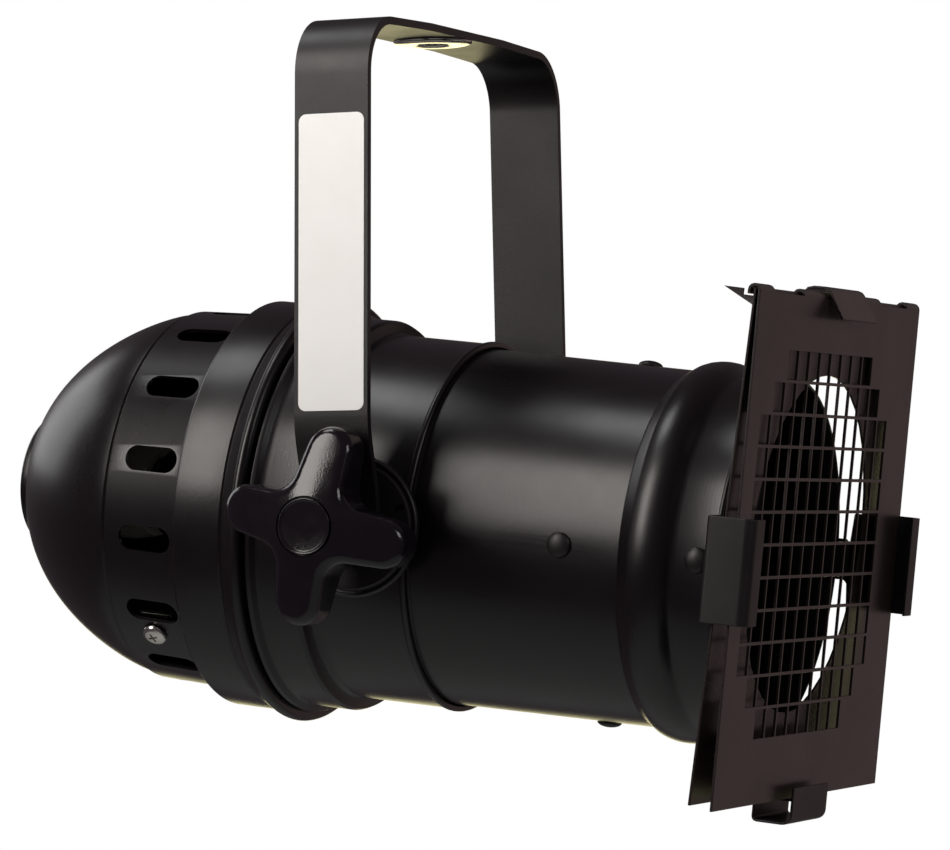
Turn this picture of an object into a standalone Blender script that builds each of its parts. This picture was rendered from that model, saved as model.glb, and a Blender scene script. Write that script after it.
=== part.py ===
# Par can spotlight hung in a flat-bar yoke, with a hinged gel frame in front.
# Units are metres. +Z is up, +X is the way the beam points, -Y is the near side.
# The origin is the top of the yoke's hanging hole.

import math

import bmesh
import bpy
from mathutils import Matrix, Vector

# General fits
FIT = 0.0003                # gap between pieces that touch on the real object
ROUND_STEPS = 40            # sides of every large turned shell
SMALL_STEPS = 16            # sides of small turned pieces
CAP = 1e-6                  # a hair past a face
DRILL = 0.0120              # how far a drill reaches past the middle of what it cuts

# Yoke
BAR_WIDTH = 0.0300
BAR_THICK = 0.0030
PIVOT_DROP = 0.1920         # top of the crossbar to the tilt axis
YOKE_SPREAD = 0.0038        # the legs leave the bends this much wider than their feet
YOKE_BEND = 0.0228          # outer radius of the two bends
YOKE_FLAT_HALF = 0.0350     # the crossbar is level to here, then droops to the bends
YOKE_DROOP = 0.0011
LEG_SPLAY = math.radians(1.7)
JOGGLE_TOP = 0.0360         # where the leg starts to step in, above the axis
JOGGLE_END = 0.0095
HANG_HOLE_R = 0.00525
HANG_WASHER_R = 0.0154
HANG_WASHER_T = 0.0015

# Head
TILT_REST = math.radians(6.45)  # nose down at rest
BEAM_UP = 0.0011            # beam axis above the tilt axis
WALL = 0.0012               # spun sheet of the shells
CAP_POLE_X = -0.1650        # flat pole of the rear cap
DOME_X = -0.1100            # where the dome meets the vented band
DOME_LENGTH = 0.0620        # seam to pole if the dome were not flattened
DOME_SHOULDER = 1.3         # 2 and 0.5 would make an ellipse
DOME_POINT = 0.40
DOME_SEAM = 0.0011          # step from the dome out to the band
CAP_HOLE_R = 0.0080
BAND_TAPER = 0.0013         # the band widens forward by this
SKIRT_X = -0.0760
SKIRT_STEP = 0.0056         # from the band out to the skirt
SKIRT_OVER = 0.0036         # the skirt lies this much outside the body
CAP_LIP_X = -0.0482         # middle of the rolled lip
CAP_LIP_R = 0.0024          # radius of the roll
VENT_COUNT = 15
VENT_LENGTH = 0.0225
VENT_WIDTH = 0.0100
VENT_X = -0.0905

REAR_DISC_R = 0.0262
REAR_DISC_H = 0.0070
REAR_DISC_SPIGOT = 0.0030

BODY_SLEEVE_LENGTH = 0.0150
BODY_RIDGE_UP = 0.0028
BODY_REAR_R = 0.0767
BODY_STEP_X = -0.0240       # front end of the wider rear stretch
BODY_STEP = 0.0054          # in from the rear stretch to the middle one
BODY_FRONT_X = 0.0185

TUBE_SLEEVE_LENGTH = 0.0095
TUBE_STEP = 0.0020          # in from the body to the tube
TUBE_TAPER = 0.0009
TUBE_TAPER_END = 0.1040
RIB_X = 0.1175              # middle of the broad rib
RIB_UP = 0.0045             # rib and nose above the front end of the taper
NOSE_UP = 0.0006
TUBE_FRONT_X = 0.1412

BAFFLE_X = 0.0790
BAFFLE_LENGTH = 0.0180
BAFFLE_LIP = 0.0090

RIVET_R = 0.0024
RIVET_HEAD_R = 0.00475
RIVET_HEAD_H = 0.0020
TOP_RIVET_ANGLE = math.radians(97)

# Pivots
BOLT_R = 0.0040
BOLT_HEAD_R = 0.0080
BOLT_HEAD_H = 0.0045
SIDE_DISC_R = 0.0268
SIDE_DISC_WALL = 0.0012
SIDE_DISC_RIM = 0.0024      # how far the turned rim reaches back
SIDE_DISC_OUT = 0.0097      # its outer face stands this far off the body
SIDE_BOSS_R = 0.0150
SIDE_SLOT_WIDTH = 0.0020
SIDE_SLOT_ANGLE = math.radians(25)
SPACER_R = 0.0120
SPACER_T = 0.0062
WASHER_R = 0.0085
WASHER_T = 0.0013
KNOB_LOBES = 4
KNOB_R = 0.0374             # centre to the tip of a lobe
KNOB_LOBE_R = 0.0115
KNOB_WAIST = 0.0210         # centre of a hollow, along and across
KNOB_BASE_H = 0.0072
KNOB_SIDE_H = 0.0150
KNOB_CROWN_H = 0.0078
KNOB_HUB_R = 0.0130
KNOB_TURN = math.radians(-10)
KNOB_CAP_R = 0.0104
KNOB_CAP_T = 0.0018
INSERT_R = 0.0068
INSERT_H = 0.0180

# Gel frame and its holders
FRAME_HEIGHT = 0.1900
FRAME_WIDTH = 0.1860
FRAME_UP = 0.0072           # centre of the frame above the beam axis
FRAME_Y = -0.0020           # the loose frame rests nearer to the near holder
LEAF_T = 0.0010
LEAF_AHEAD = 0.0163         # middle of the front leaf ahead of the tube's rim
CURL_R = 0.0025             # outer radius of the rolled knuckles
KNUCKLE_HALF_MIDDLE = 0.0445
KNUCKLE_SIDE = 0.0155
CURL_TAIL = 0.0015
REAR_LEAF_BACK = 0.0069     # how far the rear leaf's foot stands back
REAR_LEAF_SHORT = 0.0010    # the rear leaf is smaller at its sides and foot
REAR_OPENING_R = 0.0640
EAR_LENGTH = 0.0121
EAR_TOP = 0.0010            # below the top of the rear leaf
EAR_HEIGHT = 0.0035         # slanted edge below the rolled knuckle
GRID_PITCH = 0.0122         # from cell to cell, across and up
GRID_RISE = 0.0120
GRID_BAR = 0.0012
GRID_UP = 0.0008            # centre of the grid above the frame's own centre
GRID_Y = -0.0080            # towards the near side
GRID_ROWS = (8, 10, 12, 12, 12, 12, 12, 12, 12, 12, 10, 8)

CLIP_T = 0.0010
CLIP_WIDTH = 0.0386
CLIP_Z = -0.0013
CLIP_ROOM = 0.0050          # outer face of a side clip outside half the frame's width
CLIP_COVER = 0.0068         # how far its front lip reaches over that half width
CLIP_BEHIND = 0.0105        # wall behind the frame, from the front leaf
CLIP_AHEAD = 0.0070         # front lip, from the front leaf
CLIP_BEND = 0.0035
CLIP_TAB_WIDTH = 0.0160
CLIP_TAB_BACK = 0.0096      # end of the tab behind its rivet
CLIP_RIVET_BACK = 0.0076    # rivet behind the tube's rim
BOTTOM_CLIP_WIDTH = 0.0395
BOTTOM_CLIP_AHEAD = 0.0045
BOTTOM_CLIP_ROOM = 0.0094   # outer face below the foot of the frame
BOTTOM_CLIP_COVER = 0.0048
LEDGE_HALF = 0.0100         # half width of the tongue that the frame stands on

LATCH_WIDTH = 0.0400
LATCH_T = 0.0010
LATCH_PIN_BACK = 0.0067     # pin behind the tube's rim
LATCH_PIN_UP = 0.0118       # pin above the nose, so that the lip clears the knuckle
LATCH_PIN_R = 0.0015
LATCH_AHEAD = 0.0067        # end of the lip, from the front leaf
LATCH_COVER = 0.0097        # end of the lip below the top of the frame
LATCH_GAP = 0.0010          # latch above the knuckles
BRACKET_EAR_T = 0.0012
BRACKET_BASE_T = 0.0012
BRACKET_EYE_R = 0.0040
BRACKET_HALF = 0.0045

# Lamp and wiring
HOLDER_R = 0.0200
HOLDER_LENGTH = 0.0390
HOLDER_BACK_X = -0.1605
STRAP_T = 0.0015
STRAP_WIDTH = 0.0160
STRAP_PLATE_R = 0.0240
STRAP_SCREW_X = -0.0920
STRAP_ANGLES = (math.radians(-45), math.radians(144.5))
SCREW_R = 0.0020
SCREW_HEAD_R = 0.0042
SCREW_HEAD_H = 0.0022
LAMP_BASE_R = 0.0131
LAMP_BASE_LENGTH = 0.0240
LAMP_ROOM = 0.0103          # from the lamp's edge out to the body
LAMP_NECK_R = 0.0200
LAMP_LENGTH = 0.1360
LAMP_WALL = 0.0025
LAMP_LENS_T = 0.0040
BLOCK_SIZE = (0.0140, 0.0240, 0.0120)
BLOCK_GAP = 0.0020          # between the lamp holder and the block
BLOCK_OVERHANG = 0.0015     # the block's near side past the shelf
SHELF_HALF = 0.0100
GLAND_R = 0.0060
GLAND_ANGLE = math.radians(216)
GLAND_HEX_AF = 0.0150
GLAND_HEX_H = 0.0050
GLAND_CAP_H = 0.0090
GLAND_BORE_R = 0.0035
GLAND_NUT_H = 0.0035

# Sizes that follow from the ones above
TILT_AXIS = Vector((0, 0, -PIVOT_DROP))
BODY_RIDGE_R = BODY_REAR_R + BODY_RIDGE_UP
BODY_R = BODY_REAR_R - BODY_STEP
SKIRT_R = BODY_REAR_R + SKIRT_OVER
BAND_R_FRONT = SKIRT_R - SKIRT_STEP
BAND_R_REAR = BAND_R_FRONT - BAND_TAPER
DOME_R = BAND_R_REAR - DOME_SEAM
TUBE_R_REAR = BODY_R - TUBE_STEP
TUBE_R_FRONT = TUBE_R_REAR - TUBE_TAPER
RIB_R = TUBE_R_FRONT + RIB_UP
NOSE_R = TUBE_R_FRONT + NOSE_UP
LAMP_R = BODY_R - LAMP_ROOM
CAP_INNER_R = SKIRT_R - WALL
BODY_SLEEVE_R = CAP_INNER_R - FIT
CAP_END_X = CAP_LIP_X + CAP_LIP_R
BODY_REAR_X = CAP_END_X + FIT - BODY_SLEEVE_LENGTH
TUBE_SLEEVE_R = BODY_R - WALL - FIT
TUBE_REAR_X = BODY_FRONT_X - TUBE_SLEEVE_LENGTH
SIDE_DISC_FACE = BODY_R + SIDE_DISC_OUT
LEG_INNER = SIDE_DISC_FACE + SPACER_T + 2 * FIT
LEG_OUTER = LEG_INNER + BAR_THICK
YOKE_HALF = LEG_OUTER + YOKE_SPREAD
KNOB_FOOT = LEG_OUTER + WASHER_T + 2 * FIT
HOLE_R = BOLT_R + FIT
LEAF_X = TUBE_FRONT_X + LEAF_AHEAD
FRAME_TOP = FRAME_UP + FRAME_HEIGHT / 2
FRAME_FOOT = FRAME_UP - FRAME_HEIGHT / 2
FRAME_NEAR = FRAME_Y - FRAME_WIDTH / 2
FRAME_FAR = FRAME_Y + FRAME_WIDTH / 2
CURL_X = LEAF_X + LEAF_T / 2 - CURL_R
CURL_Z = FRAME_TOP - CURL_R
CLIP_OUT = FRAME_WIDTH / 2 + CLIP_ROOM
CLIP_LIP = FRAME_WIDTH / 2 - CLIP_COVER
CLIP_REAR_X = LEAF_X - CLIP_BEHIND
CLIP_FRONT_X = LEAF_X + CLIP_AHEAD
CLIP_RIVET_X = TUBE_FRONT_X - CLIP_RIVET_BACK
CLIP_TAB_X = CLIP_RIVET_X - CLIP_TAB_BACK
BOTTOM_CLIP_FRONT_X = LEAF_X + BOTTOM_CLIP_AHEAD
BOTTOM_CLIP_OUT = BOTTOM_CLIP_ROOM - FRAME_FOOT
BOTTOM_CLIP_LIP = -FRAME_FOOT - BOTTOM_CLIP_COVER
LATCH_PIN_X = TUBE_FRONT_X - LATCH_PIN_BACK
LATCH_PIN_Z = NOSE_R + LATCH_PIN_UP
LATCH_LIP_X = LEAF_X + LATCH_AHEAD
LATCH_LIP_Z = FRAME_TOP - LATCH_COVER
TUBE_INNER_NOSE = NOSE_R - WALL


def clear_scene():
    for obj in list(bpy.data.objects):
        bpy.data.objects.remove(obj, do_unlink=True)


def make_material(name, colour, roughness, metallic):
    material = bpy.data.materials.new(name)
    material.use_nodes = True
    shader = material.node_tree.nodes["Principled BSDF"]
    shader.inputs["Base Color"].default_value = (*colour, 1)
    shader.inputs["Roughness"].default_value = roughness
    shader.inputs["Metallic"].default_value = metallic
    return material


def make_empty(name, location, rotation=(0, 0, 0), parent=None):
    empty = bpy.data.objects.new(name, None)
    empty.location = location
    empty.rotation_euler = rotation
    empty.parent = parent
    bpy.context.collection.objects.link(empty)
    return empty


def make_object(name, bm, material, parent=None, location=(0, 0, 0), rotation=(0, 0, 0), smooth=35):
    bmesh.ops.remove_doubles(bm, verts=bm.verts, dist=1e-7)
    bmesh.ops.recalc_face_normals(bm, faces=bm.faces)
    mesh = bpy.data.meshes.new(name)
    bm.to_mesh(mesh)
    bm.free()
    mesh.materials.append(material)
    mesh.shade_smooth()
    mesh.set_sharp_from_angle(angle=math.radians(smooth))
    obj = bpy.data.objects.new(name, mesh)
    obj.location = location
    obj.rotation_euler = rotation
    obj.parent = parent
    bpy.context.collection.objects.link(obj)
    return obj


def combine(target, other, operation="DIFFERENCE"):
    # The other object becomes a hidden cutter that shapes the target.
    other.hide_render = True
    other.display_type = "WIRE"
    modifier = target.modifiers.new(operation.title(), "BOOLEAN")
    modifier.operation = operation
    modifier.solver = "EXACT"
    modifier.object = other


def arc(centre, radius, start, end, steps):
    # Points of an arc in a plane, angles in degrees, both ends included.
    angles = [math.radians(start + (end - start) * i / steps) for i in range(steps + 1)]
    return [(centre[0] + radius * math.cos(a), centre[1] + radius * math.sin(a)) for a in angles]


def turned(profile, steps=ROUND_STEPS, axis="X"):
    # Spins a closed outline of (along, radius) points round an axis.
    bm = bmesh.new()
    verts = [bm.verts.new((x, r, 0)) for x, r in profile]
    edges = [bm.edges.new((verts[i], verts[i - 1])) for i in range(len(verts))]
    bmesh.ops.spin(bm, geom=verts + edges, axis=(1, 0, 0), cent=(0, 0, 0), angle=math.tau,
                   steps=steps, use_merge=True)
    bmesh.ops.remove_doubles(bm, verts=bm.verts, dist=1e-6)
    loose = [e for e in bm.edges if not e.link_faces]
    bmesh.ops.delete(bm, geom=loose, context="EDGES")
    if axis == "Y":
        bm.transform(Matrix.Rotation(math.pi / 2, 4, "Z"))
    if axis == "Z":
        bm.transform(Matrix.Rotation(-math.pi / 2, 4, "Y"))
    return bm


def rod(radius, start, end, steps=SMALL_STEPS, axis="X"):
    return turned([(start, 0), (start, radius), (end, radius), (end, 0)], steps, axis)


def ring(outer, inner, start, end, steps=SMALL_STEPS, axis="X"):
    return turned([(start, inner), (start, outer), (end, outer), (end, inner)], steps, axis)


def hex_ring(across_flats, inner, start, end):
    # A six-sided outside with a round bore along X.
    bm = turned([(start, 0), (start, across_flats / math.sqrt(3)), (end, across_flats / math.sqrt(3)),
                 (end, 0)], 6)
    return bm, rod(inner, start - 0.001, end + 0.001, SMALL_STEPS)


def offset_path(path, distance):
    # Moves an open path sideways by a distance, with mitred corners.
    result = []
    for i, point in enumerate(path):
        here = Vector(point)
        before = (here - Vector(path[i - 1])).normalized() if i else None
        after = (Vector(path[i + 1]) - here).normalized() if i + 1 < len(path) else None
        before = before or after
        after = after or before
        side = Vector((-(before.y + after.y), before.x + after.x)).normalized()
        stretch = max(0.4, side.dot(Vector((-before.y, before.x))))
        result.append(tuple(here + side * distance / stretch))
    return result


def bent_strip(path, thickness, half_widths, to_world):
    # A strip of sheet bent along a path. to_world turns (along, across, width) into X, Y, Z.
    bm = bmesh.new()
    left = offset_path(path, thickness / 2)
    right = offset_path(path, -thickness / 2)
    rows = []
    for i in range(len(path)):
        half = half_widths[i] if isinstance(half_widths, (list, tuple)) else half_widths
        corners = [(*left[i], -half), (*left[i], half), (*right[i], half), (*right[i], -half)]
        rows.append([bm.verts.new(to_world(*corner)) for corner in corners])
    for near, far in zip(rows, rows[1:]):
        for k in range(4):
            bm.faces.new((near[k], near[k - 1], far[k - 1], far[k]))
    bm.faces.new(rows[0])
    bm.faces.new(list(reversed(rows[-1])))
    return bm


def box(low, high):
    bm = bmesh.new()
    bmesh.ops.create_cube(bm, size=1)
    size = Vector(high) - Vector(low)
    middle = (Vector(high) + Vector(low)) / 2
    bm.transform(Matrix.Translation(middle) @ Matrix.Diagonal((*size, 1)))
    return bm


def rounded(path, corner, radius, start, end, steps=5):
    # Appends an arc round a corner centre to a path.
    path.extend(arc(corner, radius, start, end, steps))
    return path


# Yoke


def yoke_path():
    # Centre line of the bar from the far foot to the near foot, as (y, z).
    half_t = BAR_THICK / 2
    bend = YOKE_BEND - half_t
    leg_top = -YOKE_BEND - YOKE_DROOP
    spread = (PIVOT_DROP + leg_top - JOGGLE_TOP) * math.tan(LEG_SPLAY)
    outer = YOKE_HALF - half_t
    foot = LEG_OUTER - half_t
    right = [(foot, -PIVOT_DROP - BAR_WIDTH / 2 * math.cos(math.radians(a))) for a in (8, 22, 40, 60, 90)]
    right.append((foot, -PIVOT_DROP + JOGGLE_END))
    right.append((outer + spread, -PIVOT_DROP + JOGGLE_TOP))
    rounded(right, (outer - bend, leg_top), bend, 0, 90, 7)
    right.append((YOKE_FLAT_HALF, -half_t))
    return right + [(-y, z) for y, z in reversed(right)]


def yoke(paint):
    path = yoke_path()
    halves = []
    for y, z in path:
        below = -PIVOT_DROP - z
        if below > CAP:
            halves.append(math.sqrt(max((BAR_WIDTH / 2) ** 2 - below ** 2, 1e-8)))
        else:
            halves.append(BAR_WIDTH / 2)
    bm = bent_strip(path, BAR_THICK, halves, lambda y, z, x: (x, y, z))
    obj = make_object("yoke", bm, paint)
    reach = YOKE_HALF + DRILL
    pivot_cut = make_object("yoke_pivot_cut", rod(HOLE_R, -reach, reach, SMALL_STEPS, "Y"), paint,
                            location=TILT_AXIS)
    hang_cut = make_object("yoke_hang_cut", rod(HANG_HOLE_R, -DRILL, DRILL, 24, "Z"), paint)
    combine(obj, pivot_cut)
    combine(obj, hang_cut)
    return obj


def hang_washer(zinc):
    # Large washer under the crossbar, round the hanging hole.
    bm = ring(HANG_WASHER_R, HANG_HOLE_R, -BAR_THICK - FIT - HANG_WASHER_T, -BAR_THICK - FIT, 32, "Z")
    return make_object("hang_washer", bm, zinc)


# Head shells, all turned round the beam axis


def dome_radius(x):
    share = min(1.0, max(0.0, DOME_X - x) / DOME_LENGTH)
    return DOME_R * (1 - share ** DOME_SHOULDER) ** DOME_POINT


def dome_points(count, shrink):
    # Points from the edge of the flat pole to the seam, closer together near the pole.
    span = DOME_X - CAP_POLE_X
    points = []
    for i in range(count):
        x = DOME_X - span * math.cos(math.pi / 2 * i / count) ** 0.8
        points.append((x + shrink * (DOME_X - x) / span, dome_radius(x) - shrink))
    return points


def rear_cap_profile():
    # Outer side from the pole forward, then the inner side back.
    outer = [(CAP_POLE_X, CAP_HOLE_R)] + dome_points(9, 0) + [(DOME_X, DOME_R)]
    outer += [(DOME_X + 0.0008, DOME_R - 0.0006), (DOME_X + 0.0020, BAND_R_REAR)]
    outer += [(SKIRT_X - 0.0006, BAND_R_FRONT), (SKIRT_X + 0.0004, SKIRT_R - 0.0008)]
    outer += [(SKIRT_X + 0.0014, SKIRT_R)]
    groove = CAP_LIP_X - 3.2 * CAP_LIP_R
    outer += [(groove, SKIRT_R), (groove + 0.0008, SKIRT_R - 0.0005), (groove + 0.0018, SKIRT_R + 0.0006)]
    outer += arc((CAP_LIP_X, SKIRT_R + 0.0009), CAP_LIP_R, 170, -10, 5)
    inner = [(CAP_END_X, CAP_INNER_R), (SKIRT_X + WALL, CAP_INNER_R)]
    inner += [(SKIRT_X + WALL, BAND_R_FRONT - WALL), (DOME_X + WALL, BAND_R_REAR - WALL - 0.0006)]
    inner += list(reversed(dome_points(7, WALL)))
    inner.append((CAP_POLE_X + WALL, CAP_HOLE_R))
    return outer + inner


def vent_cutter(angle):
    # A round-ended slot pushed radially through the band.
    bm = bmesh.new()
    straight = VENT_LENGTH / 2 - VENT_WIDTH / 2
    outline = arc((straight, 0), VENT_WIDTH / 2, -90, 90, 5) + arc((-straight, 0), VENT_WIDTH / 2, 90, 270, 5)
    face = bm.faces.new([bm.verts.new((x, y, BAND_R_REAR - DRILL)) for x, y in outline])
    side = bmesh.ops.extrude_face_region(bm, geom=[face])
    lifted = [v for v in side["geom"] if isinstance(v, bmesh.types.BMVert)]
    bmesh.ops.translate(bm, verts=lifted, vec=(0, 0, 2 * DRILL))
    bm.transform(radial_frame(VENT_X, angle))
    return bm


def radial_frame(x, angle):
    # Puts local +Z on the outward radius. Angle 0 is the near side, 90 degrees is up.
    outward = Vector((0, -math.cos(angle), math.sin(angle)))
    along = Vector((1, 0, 0))
    across = outward.cross(along)
    turn = Matrix((along, across, outward)).transposed().to_4x4()
    return Matrix.Translation((x, 0, 0)) @ turn


def drill(target, name, radius, middle, x, angle, paint, head, steps=SMALL_STEPS):
    # Cuts a radial hole through a sheet at that radius.
    hole = rod(radius, middle - DRILL, middle + DRILL, steps, "Z")
    hole.transform(radial_frame(x, angle))
    combine(target, make_object(name, hole, paint, head))


def rear_cap(paint, head):
    cap = make_object("rear_cap", turned(rear_cap_profile()), paint, head)
    vents = bmesh.new()
    for i in range(VENT_COUNT):
        one = vent_cutter(math.tau * (i + 0.5) / VENT_COUNT)
        scratch = bpy.data.meshes.new("vent")
        one.to_mesh(scratch)
        one.free()
        vents.from_mesh(scratch)
        bpy.data.meshes.remove(scratch)
    combine(cap, make_object("rear_cap_vents", vents, paint, head))
    for i, angle in enumerate(STRAP_ANGLES):
        drill(cap, "rear_cap_screw_hole_%d" % i, SCREW_R + FIT, BAND_R_REAR, STRAP_SCREW_X, angle, paint, head)
    drill(cap, "rear_cap_gland_hole", GLAND_R + FIT, BAND_R_REAR, STRAP_SCREW_X, GLAND_ANGLE, paint, head)
    return cap


def rear_disc(paint, head):
    # Pressed disc that closes the hole in the pole, with a spigot in the hole.
    seat = CAP_POLE_X - FIT
    face = seat - REAR_DISC_H
    edge = 0.0022
    profile = [(seat + REAR_DISC_SPIGOT, 0), (face, 0)]
    profile += arc((face + edge, REAR_DISC_R - edge), edge, 180, 90, 3)
    profile += [(seat, REAR_DISC_R), (seat, CAP_HOLE_R - FIT), (seat + REAR_DISC_SPIGOT, CAP_HOLE_R - FIT)]
    return make_object("rear_disc", turned(profile, 28), paint, head)


def body_outer():
    # Outer line of the body from its sleeve in the cap to its hemmed front edge.
    ridge = CAP_END_X + FIT
    line = [(BODY_REAR_X, BODY_SLEEVE_R), (ridge, BODY_SLEEVE_R), (ridge, BODY_RIDGE_R - 0.0004)]
    line += [(ridge + 0.0010, BODY_RIDGE_R), (ridge + 0.0026, BODY_RIDGE_R - 0.0003)]
    line += [(ridge + 0.0040, BODY_REAR_R + 0.0004), (ridge + 0.0060, BODY_REAR_R)]
    line += [(BODY_STEP_X - 0.0022, BODY_REAR_R), (BODY_STEP_X - 0.0006, BODY_REAR_R - 0.0008)]
    line += [(BODY_STEP_X, BODY_REAR_R - 0.0024), (BODY_STEP_X + 0.0012, BODY_R + 0.0008)]
    line += [(BODY_STEP_X + 0.0032, BODY_R), (BODY_FRONT_X - 0.0024, BODY_R)]
    line += [(BODY_FRONT_X - 0.0016, BODY_R + 0.0009), (BODY_FRONT_X - 0.0004, BODY_R + 0.0009)]
    line += [(BODY_FRONT_X, BODY_R + 0.0002)]
    return line


def body_shell(paint, head):
    inner = [(BODY_FRONT_X, BODY_R - WALL), (BODY_STEP_X + WALL, BODY_R - WALL)]
    inner += [(BODY_STEP_X - WALL, BODY_REAR_R - WALL), (BODY_REAR_X, BODY_REAR_R - WALL)]
    shell = make_object("body_shell", turned(body_outer() + inner), paint, head)
    reach = BODY_REAR_R + DRILL
    holes = rod(HOLE_R, -reach, reach, SMALL_STEPS, "Y")
    combine(shell, make_object("body_shell_pivot_cut", holes, paint, head, (0, 0, -BEAM_UP)))
    return shell


def tube_radius(x):
    # Outer radius of the slightly tapered front tube behind the rib.
    share = (x - BODY_FRONT_X) / (TUBE_TAPER_END - BODY_FRONT_X)
    return TUBE_R_REAR + (TUBE_R_FRONT - TUBE_R_REAR) * share


def front_tube(paint, head):
    # The rib swells out of a shallow valley and drops sharply in front.
    outer = [(TUBE_REAR_X, TUBE_SLEEVE_R), (BODY_FRONT_X - 0.0010, TUBE_SLEEVE_R)]
    outer += [(BODY_FRONT_X + FIT, TUBE_R_REAR), (TUBE_TAPER_END, TUBE_R_FRONT)]
    outer += [(RIB_X - 0.0105, TUBE_R_FRONT + 0.0008), (RIB_X - 0.0065, RIB_R - 0.0014)]
    outer += [(RIB_X - 0.0040, RIB_R - 0.0003), (RIB_X, RIB_R), (RIB_X + 0.0040, RIB_R - 0.0003)]
    outer += [(RIB_X + 0.0066, RIB_R - 0.0012), (RIB_X + 0.0092, RIB_R - 0.0014)]
    outer += [(RIB_X + 0.0104, RIB_R - 0.0024), (RIB_X + 0.0110, NOSE_R - 0.0002)]
    outer += [(RIB_X + 0.0126, NOSE_R), (TUBE_FRONT_X - 0.0016, NOSE_R)]
    outer += [(TUBE_FRONT_X - 0.0008, NOSE_R + 0.0004), (TUBE_FRONT_X, NOSE_R)]
    inner = [(TUBE_FRONT_X, TUBE_INNER_NOSE), (RIB_X + 0.0130, TUBE_INNER_NOSE)]
    inner += [(RIB_X + 0.0050, RIB_R - 0.0014 - WALL), (RIB_X - 0.0050, RIB_R - 0.0006 - WALL)]
    inner += [(RIB_X - 0.0115, TUBE_R_FRONT - WALL), (BODY_FRONT_X, TUBE_R_REAR - WALL)]
    inner += [(TUBE_REAR_X, TUBE_R_REAR - WALL)]
    tube = make_object("front_tube", turned(outer + inner), paint, head)
    bore = RIVET_R + FIT
    for i, angle in enumerate(rivet_angles()):
        drill(tube, "front_tube_hole_%d" % i, bore, tube_radius(BAFFLE_X), BAFFLE_X, angle, paint, head, 10)
    for i, angle in enumerate(quarter_angles()):
        drill(tube, "front_tube_clip_hole_%d" % i, bore, NOSE_R, CLIP_RIVET_X, angle, paint, head, 10)
    return tube


def quarter_angles():
    return [math.tau * i / 4 for i in range(4)]


def rivet_angles():
    # Near, top, far and bottom. The top one is drilled a little off.
    near, top, far, bottom = quarter_angles()
    return [near, TOP_RIVET_ANGLE, far, bottom]


def baffle_ring(paint, head):
    # Short ring riveted inside the tube, with an inward lip that hides the lamp's edge.
    rear = BAFFLE_X - BAFFLE_LENGTH / 2
    front = BAFFLE_X + BAFFLE_LENGTH / 2
    outer = tube_radius(front) - WALL - FIT
    inner = outer - WALL
    profile = [(rear, inner), (rear, outer), (front, outer), (front, outer - BAFFLE_LIP)]
    profile += [(front - WALL, outer - BAFFLE_LIP), (front - WALL, inner)]
    ring_obj = make_object("baffle_ring", turned(profile), paint, head)
    for i, angle in enumerate(rivet_angles()):
        drill(ring_obj, "baffle_ring_hole_%d" % i, RIVET_R + FIT, outer, BAFFLE_X, angle, paint, head, 10)
    return ring_obj


# Rivets and screws


def rivet(name, outside, grip, frame, paint, head):
    # Domed head outside, shank through the sheets and a flat set head inside.
    head_foot = outside + FIT
    inside = outside - grip - FIT
    profile = [(inside - 0.0010, 0), (inside - 0.0010, RIVET_R + 0.0012), (inside, RIVET_R + 0.0012)]
    profile += [(inside, RIVET_R), (head_foot, RIVET_R), (head_foot, RIVET_HEAD_R)]
    profile += [(head_foot + 0.5 * RIVET_HEAD_H, 0.88 * RIVET_HEAD_R)]
    profile += [(head_foot + 0.88 * RIVET_HEAD_H, 0.52 * RIVET_HEAD_R), (head_foot + RIVET_HEAD_H, 0)]
    bm = turned(profile, 12, "Z")
    bm.transform(frame)
    return make_object(name, bm, paint, head)


def tube_rivets(paint, head):
    outside = tube_radius(BAFFLE_X)
    ring_outer = tube_radius(BAFFLE_X + BAFFLE_LENGTH / 2) - WALL - FIT
    grip = outside - ring_outer + WALL
    for side, angle in zip(("near", "top", "far", "bottom"), rivet_angles()):
        rivet("tube_rivet_" + side, outside, grip, radial_frame(BAFFLE_X, angle), paint, head)


# Pivots


def side_sign(side):
    return -1 if side == "near" else 1


def mirrored(bm, side):
    # Pieces are made for the far side and turned half round the Z axis for the near side.
    if side == "near":
        bm.transform(Matrix.Rotation(math.pi, 4, "Z"))
    return bm


def side_disc(side, paint, head):
    # Thin pressed disc with a turned rim, a shallow groove inside the rim and one slit.
    face = SIDE_DISC_FACE
    back = face - SIDE_DISC_WALL
    foot = face - SIDE_DISC_RIM
    edge = SIDE_DISC_R
    profile = [(back, HOLE_R), (face, HOLE_R), (face, edge - 0.0034), (face - 0.0006, edge - 0.0026)]
    profile += [(face - 0.0006, edge - 0.0018), (face, edge - 0.0010), (face - 0.0006, edge - 0.0002)]
    profile += [(foot, edge), (foot, edge - SIDE_DISC_WALL), (back - 0.0006, edge - SIDE_DISC_WALL - 0.0004)]
    profile += [(back - 0.0006, edge - 0.0030), (back, edge - 0.0038)]
    disc = make_object("side_disc_" + side, mirrored(turned(profile, 28, "Y"), side), paint, head)
    slot = box((0.6 * edge, face - 0.004, -SIDE_SLOT_WIDTH / 2),
               (edge - 0.0040, face + 0.004, SIDE_SLOT_WIDTH / 2))
    slot.transform(Matrix.Rotation(-SIDE_SLOT_ANGLE, 4, "Y"))
    if side == "near":
        slot.transform(Matrix.Diagonal((1, -1, 1, 1)))
        bmesh.ops.reverse_faces(slot, faces=slot.faces)
    combine(disc, make_object("side_disc_slot_" + side, slot, paint, head))
    return disc


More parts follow.
